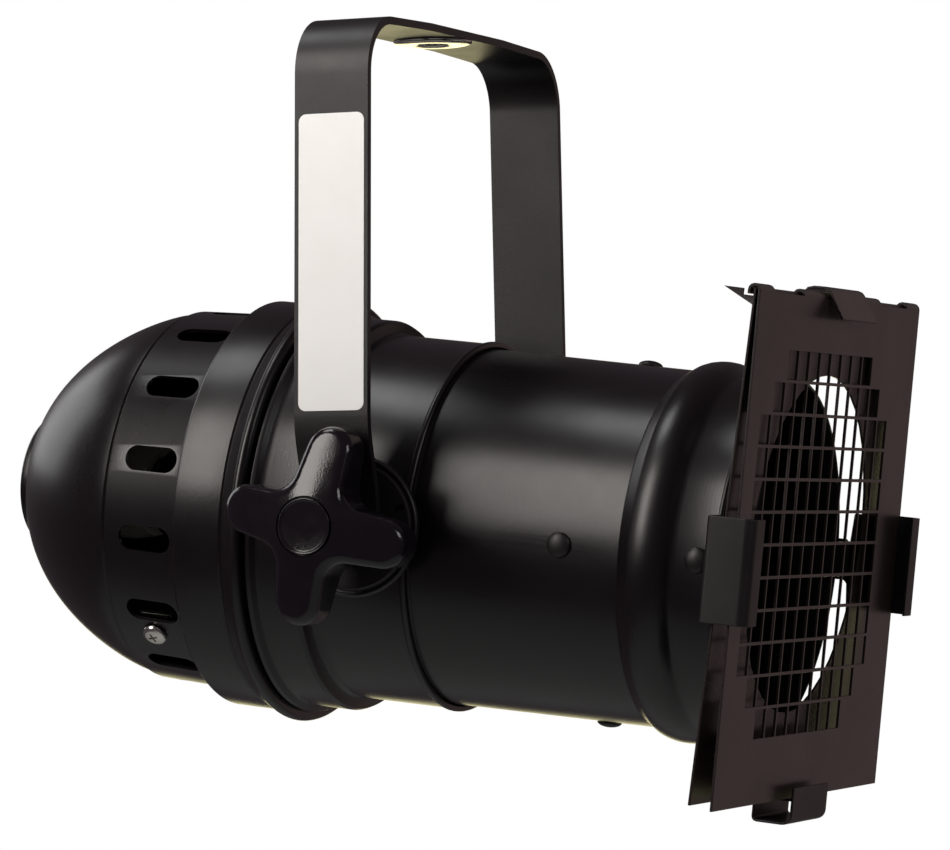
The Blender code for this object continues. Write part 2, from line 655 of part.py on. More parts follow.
def side_boss(side, paint, head):
    # Turned boss between the curved side of the body and the disc.
    face = SIDE_DISC_FACE - SIDE_DISC_WALL - FIT
    profile = [(BODY_R - DRILL, HOLE_R), (BODY_R - DRILL, SIDE_BOSS_R), (face - 0.0010, SIDE_BOSS_R)]
    profile += [(face, SIDE_BOSS_R - 0.0010), (face, HOLE_R)]
    boss = make_object("side_boss_" + side, mirrored(turned(profile, 24, "Y"), side), paint, head)
    reach = SIDE_BOSS_R + DRILL
    envelope = rod(BODY_R + FIT, -reach, reach, ROUND_STEPS)
    combine(boss, make_object("side_boss_seat_" + side, envelope, paint, head, (0, 0, BEAM_UP)))
    return boss


def pivot_bolt(side, zinc, head):
    # Round-headed bolt from inside the body, out through the leg into the knob.
    wall_inside = math.sqrt((BODY_R - WALL) ** 2 - (BOLT_HEAD_R + BEAM_UP) ** 2) - FIT
    tip = KNOB_FOOT + INSERT_H - 0.0020
    profile = [(wall_inside - BOLT_HEAD_H, 0), (wall_inside - BOLT_HEAD_H, 0.55 * BOLT_HEAD_R)]
    profile += [(wall_inside - 0.6 * BOLT_HEAD_H, 0.88 * BOLT_HEAD_R)]
    profile += [(wall_inside - 0.25 * BOLT_HEAD_H, BOLT_HEAD_R), (wall_inside, BOLT_HEAD_R)]
    profile += [(wall_inside, BOLT_R), (tip - 0.001, BOLT_R), (tip, BOLT_R - 0.001), (tip, 0)]
    return make_object("pivot_bolt_" + side, mirrored(turned(profile, SMALL_STEPS, "Y"), side), zinc, head)


def pivot_spacer(side, nylon, head):
    start = SIDE_DISC_FACE + FIT
    bm = mirrored(ring(SPACER_R, HOLE_R, start, start + SPACER_T, 24, "Y"), side)
    return make_object("pivot_spacer_" + side, bm, nylon, head)


def pivot_washer(side, zinc, axis):
    start = LEG_OUTER + FIT
    bm = mirrored(ring(WASHER_R, HOLE_R, start, start + WASHER_T, 24, "Y"), side)
    return make_object("pivot_washer_" + side, bm, zinc, axis)


def knob_outline(inset):
    # Lobe arcs joined by hollow arcs that touch them, all drawn in by an inset.
    tip = KNOB_R - KNOB_LOBE_R
    hollow = math.hypot(tip - KNOB_WAIST, KNOB_WAIST) - KNOB_LOBE_R
    meet = math.degrees(math.atan2(KNOB_WAIST, KNOB_WAIST - tip))
    points = []
    for i in range(KNOB_LOBES):
        turn = 360 / KNOB_LOBES * i
        quarter = arc((tip, 0), KNOB_LOBE_R - inset, -meet, meet, 6)
        inward = math.degrees(math.atan2(-KNOB_WAIST, tip - KNOB_WAIST))
        back = arc((KNOB_WAIST, KNOB_WAIST), hollow + inset, inward, -270 - inward, 5)
        for x, y in quarter + back[1:-1]:
            c = math.cos(math.radians(turn))
            s = math.sin(math.radians(turn))
            points.append((x * c - y * s, x * s + y * c))
    return points


def circle_like(outline, radius):
    # A circle with one point for each point of an outline, in the same directions.
    return [(radius * x / math.hypot(x, y), radius * y / math.hypot(x, y)) for x, y in outline]


def knob(side, plastic, axis):
    base = KNOB_FOOT
    lobe_low = base + KNOB_BASE_H
    lobe_high = lobe_low + KNOB_SIDE_H
    crown = lobe_high + KNOB_CROWN_H
    full = knob_outline(0)
    bore_r = INSERT_R + FIT
    rings = [(base + INSERT_H + FIT, circle_like(full, bore_r)), (base, circle_like(full, bore_r)),
             (base, circle_like(full, KNOB_HUB_R)), (lobe_low, circle_like(full, KNOB_HUB_R + 0.0005)),
             (lobe_low, knob_outline(0.0045)), (lobe_low + 0.0022, knob_outline(0.0015)),
             (lobe_low + 0.0060, full), (lobe_high - 0.0035, knob_outline(0.0008)),
             (lobe_high - 0.0005, knob_outline(0.0030)), (lobe_high + 0.0022, knob_outline(0.0070)),
             (crown, circle_like(full, KNOB_CAP_R + 0.0022)), (crown, circle_like(full, KNOB_CAP_R + FIT)),
             (crown - KNOB_CAP_T, circle_like(full, KNOB_CAP_R + FIT))]
    bm = bmesh.new()
    rows = [[bm.verts.new((x, y, z)) for x, z in outline] for y, outline in rings]
    for near, far in zip(rows, rows[1:]):
        for k in range(len(near)):
            bm.faces.new((near[k], near[k - 1], far[k - 1], far[k]))
    bm.faces.new(rows[0])
    bm.faces.new(rows[-1])
    bm.transform(Matrix.Rotation(KNOB_TURN, 4, "Y"))
    return make_object("knob_" + side, mirrored(bm, side), plastic, axis, smooth=40)


def knob_insert(side, brass, axis):
    bm = ring(INSERT_R, HOLE_R, KNOB_FOOT, KNOB_FOOT + INSERT_H, SMALL_STEPS, "Y")
    return make_object("knob_insert_" + side, mirrored(bm, side), brass, axis)


def knob_cap(side, plastic, axis):
    # Plain round plug in the middle of the knob, where makers put a badge.
    seat = KNOB_FOOT + KNOB_BASE_H + KNOB_SIDE_H + KNOB_CROWN_H - KNOB_CAP_T + FIT
    face = seat + KNOB_CAP_T
    profile = [(seat, 0), (seat, KNOB_CAP_R), (face - 0.0004, KNOB_CAP_R), (face, KNOB_CAP_R - 0.0005)]
    profile += [(face, KNOB_CAP_R - 0.0014), (face - 0.0005, KNOB_CAP_R - 0.0020)]
    profile += [(face - 0.0005, 0)]
    return make_object("knob_cap_" + side, mirrored(turned(profile, 24, "Y"), side), plastic, axis)


# Gel frame


def grid_lines(count, pitch, centre):
    # Edges of the bars across a row of cells.
    lines = []
    for i in range(count):
        start = centre + (i - count / 2) * pitch
        lines += [start + GRID_BAR / 2, start + pitch - GRID_BAR / 2]
    return lines


def front_leaf(paint, head):
    # One sheet: the border and the grid are the faces left between the cells.
    bm = bmesh.new()
    columns = max(GRID_ROWS)
    ys = knuckle_edges() + grid_lines(columns, GRID_PITCH, FRAME_Y + GRID_Y)
    ys = sorted(set(round(y, 7) for y in ys))
    zs = [FRAME_FOOT] + grid_lines(len(GRID_ROWS), GRID_RISE, FRAME_UP + GRID_UP) + [CURL_Z]
    zs = sorted(set(round(z, 7) for z in zs))
    front = LEAF_X + LEAF_T / 2
    verts = {}
    for y in ys:
        for z in zs:
            verts[y, z] = bm.verts.new((front, y, z))
    cells = open_cells()
    for y0, y1 in zip(ys, ys[1:]):
        for z0, z1 in zip(zs, zs[1:]):
            if not in_cell((y0 + y1) / 2, (z0 + z1) / 2, cells):
                bm.faces.new((verts[y0, z0], verts[y1, z0], verts[y1, z1], verts[y0, z1]))
    tops = [e for e in bm.edges if len(e.link_faces) == 1 and abs(e.verts[0].co.z - CURL_Z) < 1e-6
            and abs(e.verts[1].co.z - CURL_Z) < 1e-6 and on_knuckle(e)]
    roll_edges(bm, tops)
    loose = [v for v in bm.verts if not v.link_faces]
    bmesh.ops.delete(bm, geom=loose, context="VERTS")
    bmesh.ops.recalc_face_normals(bm, faces=bm.faces)
    flat = [f for f in bm.faces if abs(f.calc_center_median().x - front) < 1e-6]
    if flat[0].normal.x < 0:
        bmesh.ops.reverse_faces(bm, faces=bm.faces)
    simplify(bm)
    bmesh.ops.solidify(bm, geom=bm.faces[:], thickness=LEAF_T)
    return make_object("frame_front_leaf", bm, paint, head, smooth=50)


def simplify(bm):
    # Joins the strips outside the grid that no corner needs.
    for f in bm.faces:
        f.smooth = False
    bmesh.ops.dissolve_limit(bm, angle_limit=math.radians(0.5), use_dissolve_boundaries=False,
                             verts=bm.verts, edges=bm.edges, delimit={"NORMAL"})


def knuckle_edges():
    # Start and end across the frame of the near, middle and far knuckle.
    return [FRAME_NEAR, FRAME_NEAR + KNUCKLE_SIDE, FRAME_Y - KNUCKLE_HALF_MIDDLE,
            FRAME_Y + KNUCKLE_HALF_MIDDLE, FRAME_FAR - KNUCKLE_SIDE, FRAME_FAR]


def on_knuckle(edge):
    y = (edge.verts[0].co.y + edge.verts[1].co.y) / 2
    edges = knuckle_edges()
    return any(low < y < high for low, high in zip(edges[0::2], edges[1::2]))


def roll_edges(bm, edges):
    # Sweeps the top edges of the knuckles back over the top of the rear leaf.
    spun = bmesh.ops.spin(bm, geom=edges, axis=(0, 1, 0), cent=(CURL_X, 0, CURL_Z),
                          angle=-math.pi, steps=6, use_merge=False)
    last = [g for g in spun["geom_last"] if isinstance(g, bmesh.types.BMEdge)]
    tail = bmesh.ops.extrude_edge_only(bm, edges=last)
    moved = [g for g in tail["geom"] if isinstance(g, bmesh.types.BMVert)]
    bmesh.ops.translate(bm, verts=moved, vec=(0, 0, -CURL_TAIL))
    bmesh.ops.remove_doubles(bm, verts=bm.verts, dist=1e-6)


def open_cells():
    # Low and high corners of every opening in the grid, as (y, z).
    cells = []
    rises = grid_lines(len(GRID_ROWS), GRID_RISE, FRAME_UP + GRID_UP)
    for low, high, count in zip(rises[0::2], rises[1::2], GRID_ROWS):
        sides = grid_lines(count, GRID_PITCH, FRAME_Y + GRID_Y)
        cells += [(left, right, low, high) for left, right in zip(sides[0::2], sides[1::2])]
    return cells


def in_cell(y, z, cells):
    return any(y0 < y < y1 and z0 < z < z1 for y0, y1, z0, z1 in cells)


def rear_leaf(paint, head):
    # Plain sheet with a round opening. It hangs in the knuckles and its foot stands back.
    top = CURL_Z + CURL_R - LEAF_T - FIT
    foot = FRAME_FOOT + REAR_LEAF_SHORT
    half = FRAME_WIDTH / 2 - REAR_LEAF_SHORT
    height = top - foot
    bm = box((-LEAF_T / 2, -half, foot - top), (LEAF_T / 2, half, 0))
    lean = math.atan2(REAR_LEAF_BACK, height)
    leaf = make_object("frame_rear_leaf", bm, paint, head, location=(CURL_X, FRAME_Y, top),
                       rotation=(0, lean, 0))
    opening = rod(REAR_OPENING_R, -DRILL, DRILL, ROUND_STEPS)
    hole = make_object("rear_leaf_opening", opening, paint, head, location=(CURL_X, FRAME_Y, FRAME_UP))
    combine(leaf, hole)
    for sign in (-1, 1):
        ear = bmesh.new()
        y = sign * (half - LEAF_T)
        behind = -2 * CURL_R + LEAF_T - FIT
        low = LEAF_T - CURL_R - CURL_TAIL - FIT
        corners = [(0, low), (behind, low), (behind, -EAR_TOP), (-EAR_LENGTH, -EAR_TOP), (0, low - EAR_HEIGHT)]
        face = ear.faces.new([ear.verts.new((x, y, z)) for x, z in corners])
        side = bmesh.ops.extrude_face_region(ear, geom=[face])
        moved = [v for v in side["geom"] if isinstance(v, bmesh.types.BMVert)]
        bmesh.ops.translate(ear, verts=moved, vec=(0, sign * LEAF_T, 0))
        ear_obj = make_object("rear_leaf_ear_%s" % ("near" if sign < 0 else "far"), ear, paint, head,
                              location=(CURL_X, FRAME_Y, top), rotation=(0, lean, 0))
        combine(leaf, ear_obj, "UNION")
    return leaf


# Holders of the gel frame


def clip_path(out, lip_end, front_x):
    # Section through a holder: tab in the tube, wall behind the frame, web, front lip.
    tab_out = tab_radius()
    wide = out - CLIP_T / 2
    path = [(CLIP_TAB_X, tab_out), (CLIP_REAR_X - 0.0020, tab_out)]
    path += arc((CLIP_REAR_X - 0.0020, tab_out + 0.0020), 0.0020, -90, 0, 2)[1:]
    path += arc((CLIP_REAR_X + 0.0015, wide - 0.0015), 0.0015, 180, 90, 3)
    path += arc((front_x - CLIP_BEND, wide - CLIP_BEND), CLIP_BEND, 90, 0, 5)
    path.append((front_x, lip_end))
    return path


def clip_widths(path, half):
    # The tab inside the tube is narrow, the channel in front of it is wide.
    return [CLIP_TAB_WIDTH / 2 if x < CLIP_REAR_X - 0.0001 else half for x, out in path]


def tab_radius():
    # Middle of a tab that lies inside the nose of the tube.
    reach = TUBE_INNER_NOSE - FIT
    return math.sqrt(reach ** 2 - (CLIP_TAB_WIDTH / 2) ** 2) - CLIP_T / 2


def side_clip(side, paint, head):
    path = clip_path(CLIP_OUT, CLIP_LIP, CLIP_FRONT_X)
    sign = side_sign(side)
    bm = bent_strip(path, CLIP_T, clip_widths(path, CLIP_WIDTH / 2),
                    lambda x, out, w: (x, sign * out, w + (CLIP_Z if x > CLIP_REAR_X - 0.001 else 0)))
    clip = make_object("clip_" + side, bm, paint, head)
    angle = 0 if side == "near" else math.pi
    return clip_hole(clip, angle, side, paint, head)


def clip_hole(clip, angle, side, paint, head):
    drill(clip, "clip_hole_" + side, RIVET_R + FIT, tab_radius(), CLIP_RIVET_X, angle, paint, head, 10)
    return clip


def bottom_clip(paint, head):
    path = clip_path(BOTTOM_CLIP_OUT, BOTTOM_CLIP_LIP, BOTTOM_CLIP_FRONT_X)
    bm = bent_strip(path, CLIP_T, clip_widths(path, BOTTOM_CLIP_WIDTH / 2), lambda x, out, w: (x, w, -out))
    clip = make_object("clip_bottom", bm, paint, head)
    rest = box((CLIP_REAR_X - CLIP_T / 4, -LEDGE_HALF, FRAME_FOOT - FIT - CLIP_T),
               (LEAF_X + LEAF_T, LEDGE_HALF, FRAME_FOOT - FIT))
    combine(clip, make_object("clip_bottom_ledge", rest, paint, head), "UNION")
    return clip_hole(clip, -math.pi / 2, "bottom", paint, head)


def clip_rivets(paint, head):
    grip = NOSE_R - tab_radius() + CLIP_T / 2
    for side, angle in (("near", 0), ("far", math.pi), ("bottom", -math.pi / 2)):
        rivet("clip_rivet_" + side, NOSE_R, grip, radial_frame(CLIP_RIVET_X, angle), paint, head)


def latch_bracket(paint, head):
    # Saddle bent to the top of the nose, with two ears that hold the pin.
    middle = LATCH_WIDTH / 2 + FIT + BRACKET_EAR_T / 2
    radius = NOSE_R + FIT + BRACKET_BASE_T / 2
    spread = math.degrees(math.asin(middle / radius))
    base = arc((0, 0), radius, 90 - spread, 90 + spread, 6)
    turns = [math.radians(a) for a in (70, 44, 17)]
    ear = [(middle, LATCH_PIN_Z + BRACKET_EYE_R * math.sin(a), BRACKET_EYE_R * math.cos(a)) for a in turns]
    path = [(y, z) for y, z, half in ear] + base + [(-y, z) for y, z, half in reversed(ear)]
    flank = [half for y, z, half in ear]
    halves = flank + [BRACKET_HALF] * len(base) + list(reversed(flank))
    bm = bent_strip(path, BRACKET_BASE_T, halves, lambda y, z, x: (x + LATCH_PIN_X, y, z))
    bracket = make_object("latch_bracket", bm, paint, head)
    bore = rod(LATCH_PIN_R + FIT, -LATCH_WIDTH, LATCH_WIDTH, 12, "Y")
    combine(bracket, make_object("latch_bracket_bore", bore, paint, head,
                                 location=(LATCH_PIN_X, 0, LATCH_PIN_Z)))
    drill(bracket, "latch_bracket_hole", RIVET_R + FIT, NOSE_R, CLIP_RIVET_X, math.pi / 2, paint, head, 12)
    return bracket


def latch_pin(zinc, axis):
    reach = LATCH_WIDTH / 2 + FIT + BRACKET_EAR_T + 0.0008
    return make_object("latch_pin", rod(LATCH_PIN_R, -reach, reach, 12, "Y"), zinc, axis)


def latch_path():
    # From the roll round the pin, up behind the frame, over its top and out in front.
    roll = LATCH_PIN_R + FIT + LATCH_T / 2
    over = FRAME_TOP + LATCH_GAP + LATCH_T / 2
    rear_x = CURL_X - CURL_R - 0.0045
    front_x = LEAF_X - 0.0006
    centre = (LATCH_PIN_X, LATCH_PIN_Z)
    path = arc(centre, roll, 90, 330, 7)
    path += [(rear_x - 0.0015, over - 0.0040), (rear_x + 0.0010, over - 0.0006)]
    path += [(rear_x + 0.0035, over), (front_x - 0.0010, over), (front_x + 0.0005, over - 0.0005)]
    path += [(front_x + 0.0014, over - 0.0015), (LATCH_LIP_X, LATCH_LIP_Z)]
    return path


def latch(steel, axis):
    path = [(x - LATCH_PIN_X, z - LATCH_PIN_Z) for x, z in latch_path()]
    bm = bent_strip(path, LATCH_T, LATCH_WIDTH / 2, lambda x, z, w: (x, w, z))
    return make_object("latch", bm, steel, axis)


def latch_rivet(paint, head):
    outside = NOSE_R + FIT + BRACKET_BASE_T
    grip = outside - TUBE_INNER_NOSE
    frame = radial_frame(CLIP_RIVET_X, math.pi / 2)
    profile = [(outside - grip - FIT - 0.001, 0), (outside - grip - FIT - 0.001, RIVET_R + 0.0012)]
    profile += [(outside - grip - FIT, RIVET_R + 0.0012), (outside - grip - FIT, RIVET_R)]
    profile += [(outside + FIT, RIVET_R), (outside + FIT, RIVET_R + 0.0010)]
    profile += [(outside + FIT + 0.0006, RIVET_R + 0.0004), (outside + FIT + 0.0006, 0)]
    bm = turned(profile, 12, "Z")
    bm.transform(frame)
    return make_object("latch_rivet", bm, paint, head)


# Lamp, its holder and the wiring inside the cap


def holder_bracket(zinc, head):
    # A round plate behind the lamp holder and two arms to the vented band.
    plate_front = HOLDER_BACK_X - FIT
    plate_rear = plate_front - STRAP_T
    plate = make_object("holder_bracket", rod(STRAP_PLATE_R, plate_rear, plate_front, 32), zinc, head)
    shelf_end = block_near() + BLOCK_OVERHANG
    shelf = box((plate_rear, shelf_end, -SHELF_HALF), (plate_front, -STRAP_PLATE_R / 2, SHELF_HALF))
    combine(plate, make_object("holder_bracket_shelf", shelf, zinc, head), "UNION")
    middle = (plate_rear + plate_front) / 2
    foot_x = STRAP_SCREW_X - 0.0100
    foot_r = band_inside(foot_x) - STRAP_T / 2
    end_r = band_inside(STRAP_SCREW_X + 0.0080) - STRAP_T / 2
    path = [(middle, 0.010), (middle, STRAP_PLATE_R + 0.002), (foot_x, foot_r - 0.0005)]
    path += [(foot_x + 0.002, min(foot_r, end_r) - 0.0002), (STRAP_SCREW_X + 0.0080, min(foot_r, end_r))]
    for i, angle in enumerate(STRAP_ANGLES):
        arm = bent_strip(path, STRAP_T, STRAP_WIDTH / 2, lambda x, r, w: (x, w, r))
        arm.transform(radial_frame(0, angle))
        combine(plate, make_object("holder_bracket_arm_%d" % i, arm, zinc, head), "UNION")
        name = "holder_bracket_hole_%d" % i
        drill(plate, name, SCREW_R + FIT, BAND_R_REAR, STRAP_SCREW_X, angle, zinc, head, 12)
    return plate


def block_near():
    # Near side of the terminal block, beside the lamp holder.
    return -HOLDER_R - BLOCK_GAP - BLOCK_SIZE[2]


def band_inside(x):
    # Radius inside the vented band that a flat strap of its width clears.
    share = (x - DOME_X) / (SKIRT_X - DOME_X)
    radius = BAND_R_REAR + (BAND_R_FRONT - BAND_R_REAR) * share - WALL - 0.0006 - FIT
    return math.sqrt(radius ** 2 - (STRAP_WIDTH / 2) ** 2)


def strap_screw(name, angle, zinc, head):
    # Pan head screw through the band into the strap.
    share = (STRAP_SCREW_X - DOME_X) / (SKIRT_X - DOME_X)
    outside = BAND_R_REAR + (BAND_R_FRONT - BAND_R_REAR) * share + FIT
    tip = band_inside(STRAP_SCREW_X) - STRAP_T - 0.0030
    profile = [(tip, 0), (tip, SCREW_R), (outside, SCREW_R), (outside, SCREW_HEAD_R)]
    profile += [(outside + 0.55 * SCREW_HEAD_H, SCREW_HEAD_R), (outside + 0.9 * SCREW_HEAD_H, 0.75 * SCREW_HEAD_R)]
    profile += [(outside + SCREW_HEAD_H, 0.3 * SCREW_HEAD_R), (outside + SCREW_HEAD_H, 0)]
    bm = turned(profile, SMALL_STEPS, "Z")
    bm.transform(radial_frame(STRAP_SCREW_X, angle))
    obj = make_object(name, bm, zinc, head)
    depth = 0.0012
    cross = box((-0.0022, -0.0004, outside + SCREW_HEAD_H - depth), (0.0022, 0.0004, outside + 0.01))
    cross.transform(radial_frame(STRAP_SCREW_X, angle))
    combine(obj, make_object(name + "_slot", cross, zinc, head))
    return obj


def lamp_holder(ceramic, head):
    # Ceramic cup with a threaded mouth for the lamp's screw base.
    front = HOLDER_BACK_X + HOLDER_LENGTH
    mouth = LAMP_BASE_R + 2 * FIT
    floor = front - LAMP_BASE_LENGTH - FIT
    profile = [(HOLDER_BACK_X, 0), (HOLDER_BACK_X, 0.85 * HOLDER_R), (HOLDER_BACK_X + 0.008, HOLDER_R)]
    profile += [(front - 0.010, HOLDER_R), (front, 0.9 * HOLDER_R), (front, mouth), (floor, mouth), (floor, 0)]
    return make_object("lamp_holder", turned(profile, 28), ceramic, head)


def lamp_base(brass, head):
    # Screw shell with its contact, seated in the holder.
    front = HOLDER_BACK_X + HOLDER_LENGTH
    rear = front - LAMP_BASE_LENGTH
    profile = [(rear, 0), (rear, 0.005), (rear + 0.002, 0.0075), (rear + 0.005, LAMP_BASE_R)]
    turns = 4
    pitch = (LAMP_BASE_LENGTH - 0.007) / turns
    for i in range(turns):
        x = rear + 0.005 + i * pitch
        profile += [(x + 0.5 * pitch, LAMP_BASE_R - 0.0008), (x + pitch, LAMP_BASE_R)]
    profile += [(front, LAMP_BASE_R), (front, 0)]
    return make_object("lamp_base", turned(profile, SMALL_STEPS), brass, head)


def lamp_edge_x():
    return HOLDER_BACK_X + HOLDER_LENGTH - LAMP_BASE_LENGTH + LAMP_LENGTH - LAMP_LENS_T - 0.006


def lamp_bowl(glass, head):
    # Pressed glass reflector: a neck that opens into a deep bowl.
    start = HOLDER_BACK_X + HOLDER_LENGTH + FIT
    edge = lamp_edge_x()
    neck = start + 0.022
    steps = 7
    outer = [(start, LAMP_BASE_R), (start + 0.004, LAMP_NECK_R - 0.003), (neck, LAMP_NECK_R)]
    for i in range(1, steps + 1):
        share = i / steps
        outer.append((neck + (edge - neck) * share, LAMP_NECK_R + (LAMP_R - LAMP_NECK_R) * math.sqrt(share)))
    inner = [(x, r - LAMP_WALL) for x, r in reversed(outer[2:])]
    profile = [(start, 0)] + outer + inner + [(neck, 0)]
    return make_object("lamp_bowl", turned(profile, 28), glass, head)


def lamp_lens(glass, head):
    edge = lamp_edge_x() + FIT
    profile = [(edge, 0), (edge, LAMP_R), (edge + LAMP_LENS_T, LAMP_R - 0.001)]
    profile += [(edge + LAMP_LENS_T + 0.0030, 0.75 * LAMP_R), (edge + LAMP_LENS_T + 0.0050, 0.4 * LAMP_R)]
    profile += [(edge + LAMP_LENS_T + 0.0056, 0)]
    return make_object("lamp_lens", turned(profile, 28), glass, head)


def terminal_block(ceramic, head):
    # Three-way block on the bracket's shelf.
    rear = HOLDER_BACK_X
    depth, length, width = BLOCK_SIZE
    near = block_near()
    low = (rear, near, -length / 2)
    block = make_object("terminal_block", box(low, (rear + depth, near + width, length / 2)), ceramic, head)
    for i in (-1, 0, 1):
        z = i * length / 3.2
        well = make_object("terminal_well_%d" % (i + 1), rod(0.0022, rear + 0.4 * depth, rear + 2 * depth, 10),
                           ceramic, head, location=(0, near + width / 2, z))
        combine(block, well)
    return block


def gland_body(plastic, head):
    # Hexagon and domed cap outside the band, threaded neck through it.
    share = (STRAP_SCREW_X - DOME_X) / (SKIRT_X - DOME_X)
    outside = BAND_R_REAR + (BAND_R_FRONT - BAND_R_REAR) * share + FIT
    neck_end = outside - 0.0110
    hexagon = turned([(outside, 0), (outside, GLAND_HEX_AF / math.sqrt(3)),
                      (outside + GLAND_HEX_H, GLAND_HEX_AF / math.sqrt(3)), (outside + GLAND_HEX_H, 0)], 6, "Z")
    hexagon.transform(radial_frame(STRAP_SCREW_X, GLAND_ANGLE))
    body = make_object("gland_body", hexagon, plastic, head)
    top = outside + GLAND_HEX_H
    profile = [(neck_end, 0), (neck_end, GLAND_R), (outside + 0.001, GLAND_R), (outside + 0.001, 0.0070)]
    profile += [(top + 0.6 * GLAND_CAP_H, 0.0070), (top + 0.9 * GLAND_CAP_H, 0.0058), (top + GLAND_CAP_H, 0.0050)]
    profile += [(top + GLAND_CAP_H, 0)]
    core = turned(profile, SMALL_STEPS, "Z")
    core.transform(radial_frame(STRAP_SCREW_X, GLAND_ANGLE))
    combine(body, make_object("gland_core", core, plastic, head), "UNION")
    bore = rod(GLAND_BORE_R, neck_end - 0.005, top + GLAND_CAP_H + 0.005, SMALL_STEPS, "Z")
    bore.transform(radial_frame(STRAP_SCREW_X, GLAND_ANGLE))
    combine(body, make_object("gland_bore", bore, plastic, head))
    return body


def gland_nut(plastic, head):
    # Lock nut inside the band.
    share = (STRAP_SCREW_X - DOME_X) / (SKIRT_X - DOME_X)
    inside = BAND_R_REAR + (BAND_R_FRONT - BAND_R_REAR) * share - WALL - 0.0006
    corner = GLAND_HEX_AF / math.sqrt(3)
    high = math.sqrt(inside ** 2 - corner ** 2) - FIT
    nut, bore = hex_ring(GLAND_HEX_AF, GLAND_R + FIT, high - GLAND_NUT_H, high)
    turn = radial_frame(STRAP_SCREW_X, GLAND_ANGLE) @ Matrix.Rotation(-math.pi / 2, 4, "Y")
    nut.transform(turn)
    bore.transform(turn)
    obj = make_object("gland_nut", nut, plastic, head)
    combine(obj, make_object("gland_nut_bore", bore, plastic, head))
    return obj


def build():
    clear_scene()
    paint = make_material("black_powder_coat", (0.012, 0.012, 0.013), 0.42, 0.0)
    frame_paint = make_material("brown_black_enamel", (0.030, 0.024, 0.023), 0.45, 0.0)
    plastic = make_material("black_knob_plastic", (0.012, 0.012, 0.016), 0.30, 0.0)
    zinc = make_material("zinc_plated_steel", (0.62, 0.62, 0.60), 0.35, 1.0)
    brass = make_material("brass", (0.70, 0.55, 0.28), 0.30, 1.0)
    nylon = make_material("black_nylon", (0.02, 0.02, 0.02), 0.55, 0.0)
    ceramic = make_material("white_ceramic", (0.82, 0.80, 0.75), 0.35, 0.0)
    glass = make_material("pressed_glass", (0.75, 0.78, 0.80), 0.08, 0.0)

    head = make_empty("head_axis", TILT_AXIS, (0, TILT_REST, 0))
    beam = make_empty("beam_axis", (0, 0, BEAM_UP), parent=head)
    yoke_axis = make_empty("yoke_axis", TILT_AXIS)
    latch_axis = make_empty("latch_axis", (LATCH_PIN_X, 0, LATCH_PIN_Z), parent=beam)

    yoke(paint)
    hang_washer(zinc)
    rear_cap(paint, beam)
    rear_disc(paint, beam)
    body_shell(paint, beam)
    front_tube(paint, beam)
    baffle_ring(paint, beam)
    tube_rivets(paint, beam)
    for side in ("near", "far"):
        knob_axis = make_empty("knob_axis_" + side, (0, 0, 0), parent=head)
        side_disc(side, paint, head)
        side_boss(side, paint, head)
        pivot_bolt(side, zinc, head)
        pivot_spacer(side, nylon, head)
        pivot_washer(side, zinc, yoke_axis)
        knob(side, plastic, knob_axis)
        knob_insert(side, brass, knob_axis)
        knob_cap(side, plastic, knob_axis)
        side_clip(side, paint, beam)
    bottom_clip(paint, beam)
    clip_rivets(paint, beam)
    latch_bracket(paint, beam)
    latch_pin(zinc, latch_axis)
    latch(frame_paint, latch_axis)
    latch_rivet(paint, beam)
    front_leaf(frame_paint, beam)
    rear_leaf(frame_paint, beam)
    holder_bracket(zinc, beam)
    strap_screw("strap_screw_near", STRAP_ANGLES[0], zinc, beam)
    strap_screw("strap_screw_far", STRAP_ANGLES[1], zinc, beam)
    lamp_holder(ceramic, beam)
    lamp_base(brass, beam)
    lamp_bowl(glass, beam)
    lamp_lens(glass, beam)
    terminal_block(ceramic, beam)
    gland_body(nylon, beam)
    gland_nut(nylon, beam)


build()
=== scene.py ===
# Looks of the par can: finer turned shells, knobs and yoke, the bare rating plate, every finish,
# the studio and the camera.
# Units are metres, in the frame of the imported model: +Z up, +X the way the beam points, -Y the near side.
# Profiles are (along, radius) points from the pivot's plane, in metres, read off the photo.

import math

import bmesh
import bpy
from mathutils import Matrix, Vector


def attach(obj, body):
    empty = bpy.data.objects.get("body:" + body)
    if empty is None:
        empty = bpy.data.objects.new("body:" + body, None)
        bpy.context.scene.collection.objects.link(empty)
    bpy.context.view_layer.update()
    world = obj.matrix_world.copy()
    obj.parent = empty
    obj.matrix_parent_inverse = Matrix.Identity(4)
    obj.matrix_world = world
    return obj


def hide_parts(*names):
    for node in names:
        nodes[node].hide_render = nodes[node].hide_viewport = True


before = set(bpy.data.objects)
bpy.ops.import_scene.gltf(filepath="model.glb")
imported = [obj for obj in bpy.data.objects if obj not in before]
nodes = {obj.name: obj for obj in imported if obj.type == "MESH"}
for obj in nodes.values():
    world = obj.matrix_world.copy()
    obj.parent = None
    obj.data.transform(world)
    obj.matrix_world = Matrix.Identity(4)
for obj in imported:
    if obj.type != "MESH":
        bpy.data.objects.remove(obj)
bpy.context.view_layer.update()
SIDES = ("near", "far")

# Sizes that the finer pieces share with the solids
FIT = 0.0003
WALL = 0.0012
PIVOT_DROP = 0.1920
TILT = math.radians(6.45)
BEAM_UP = 0.0011
BOLT_HOLE_R = 0.0043

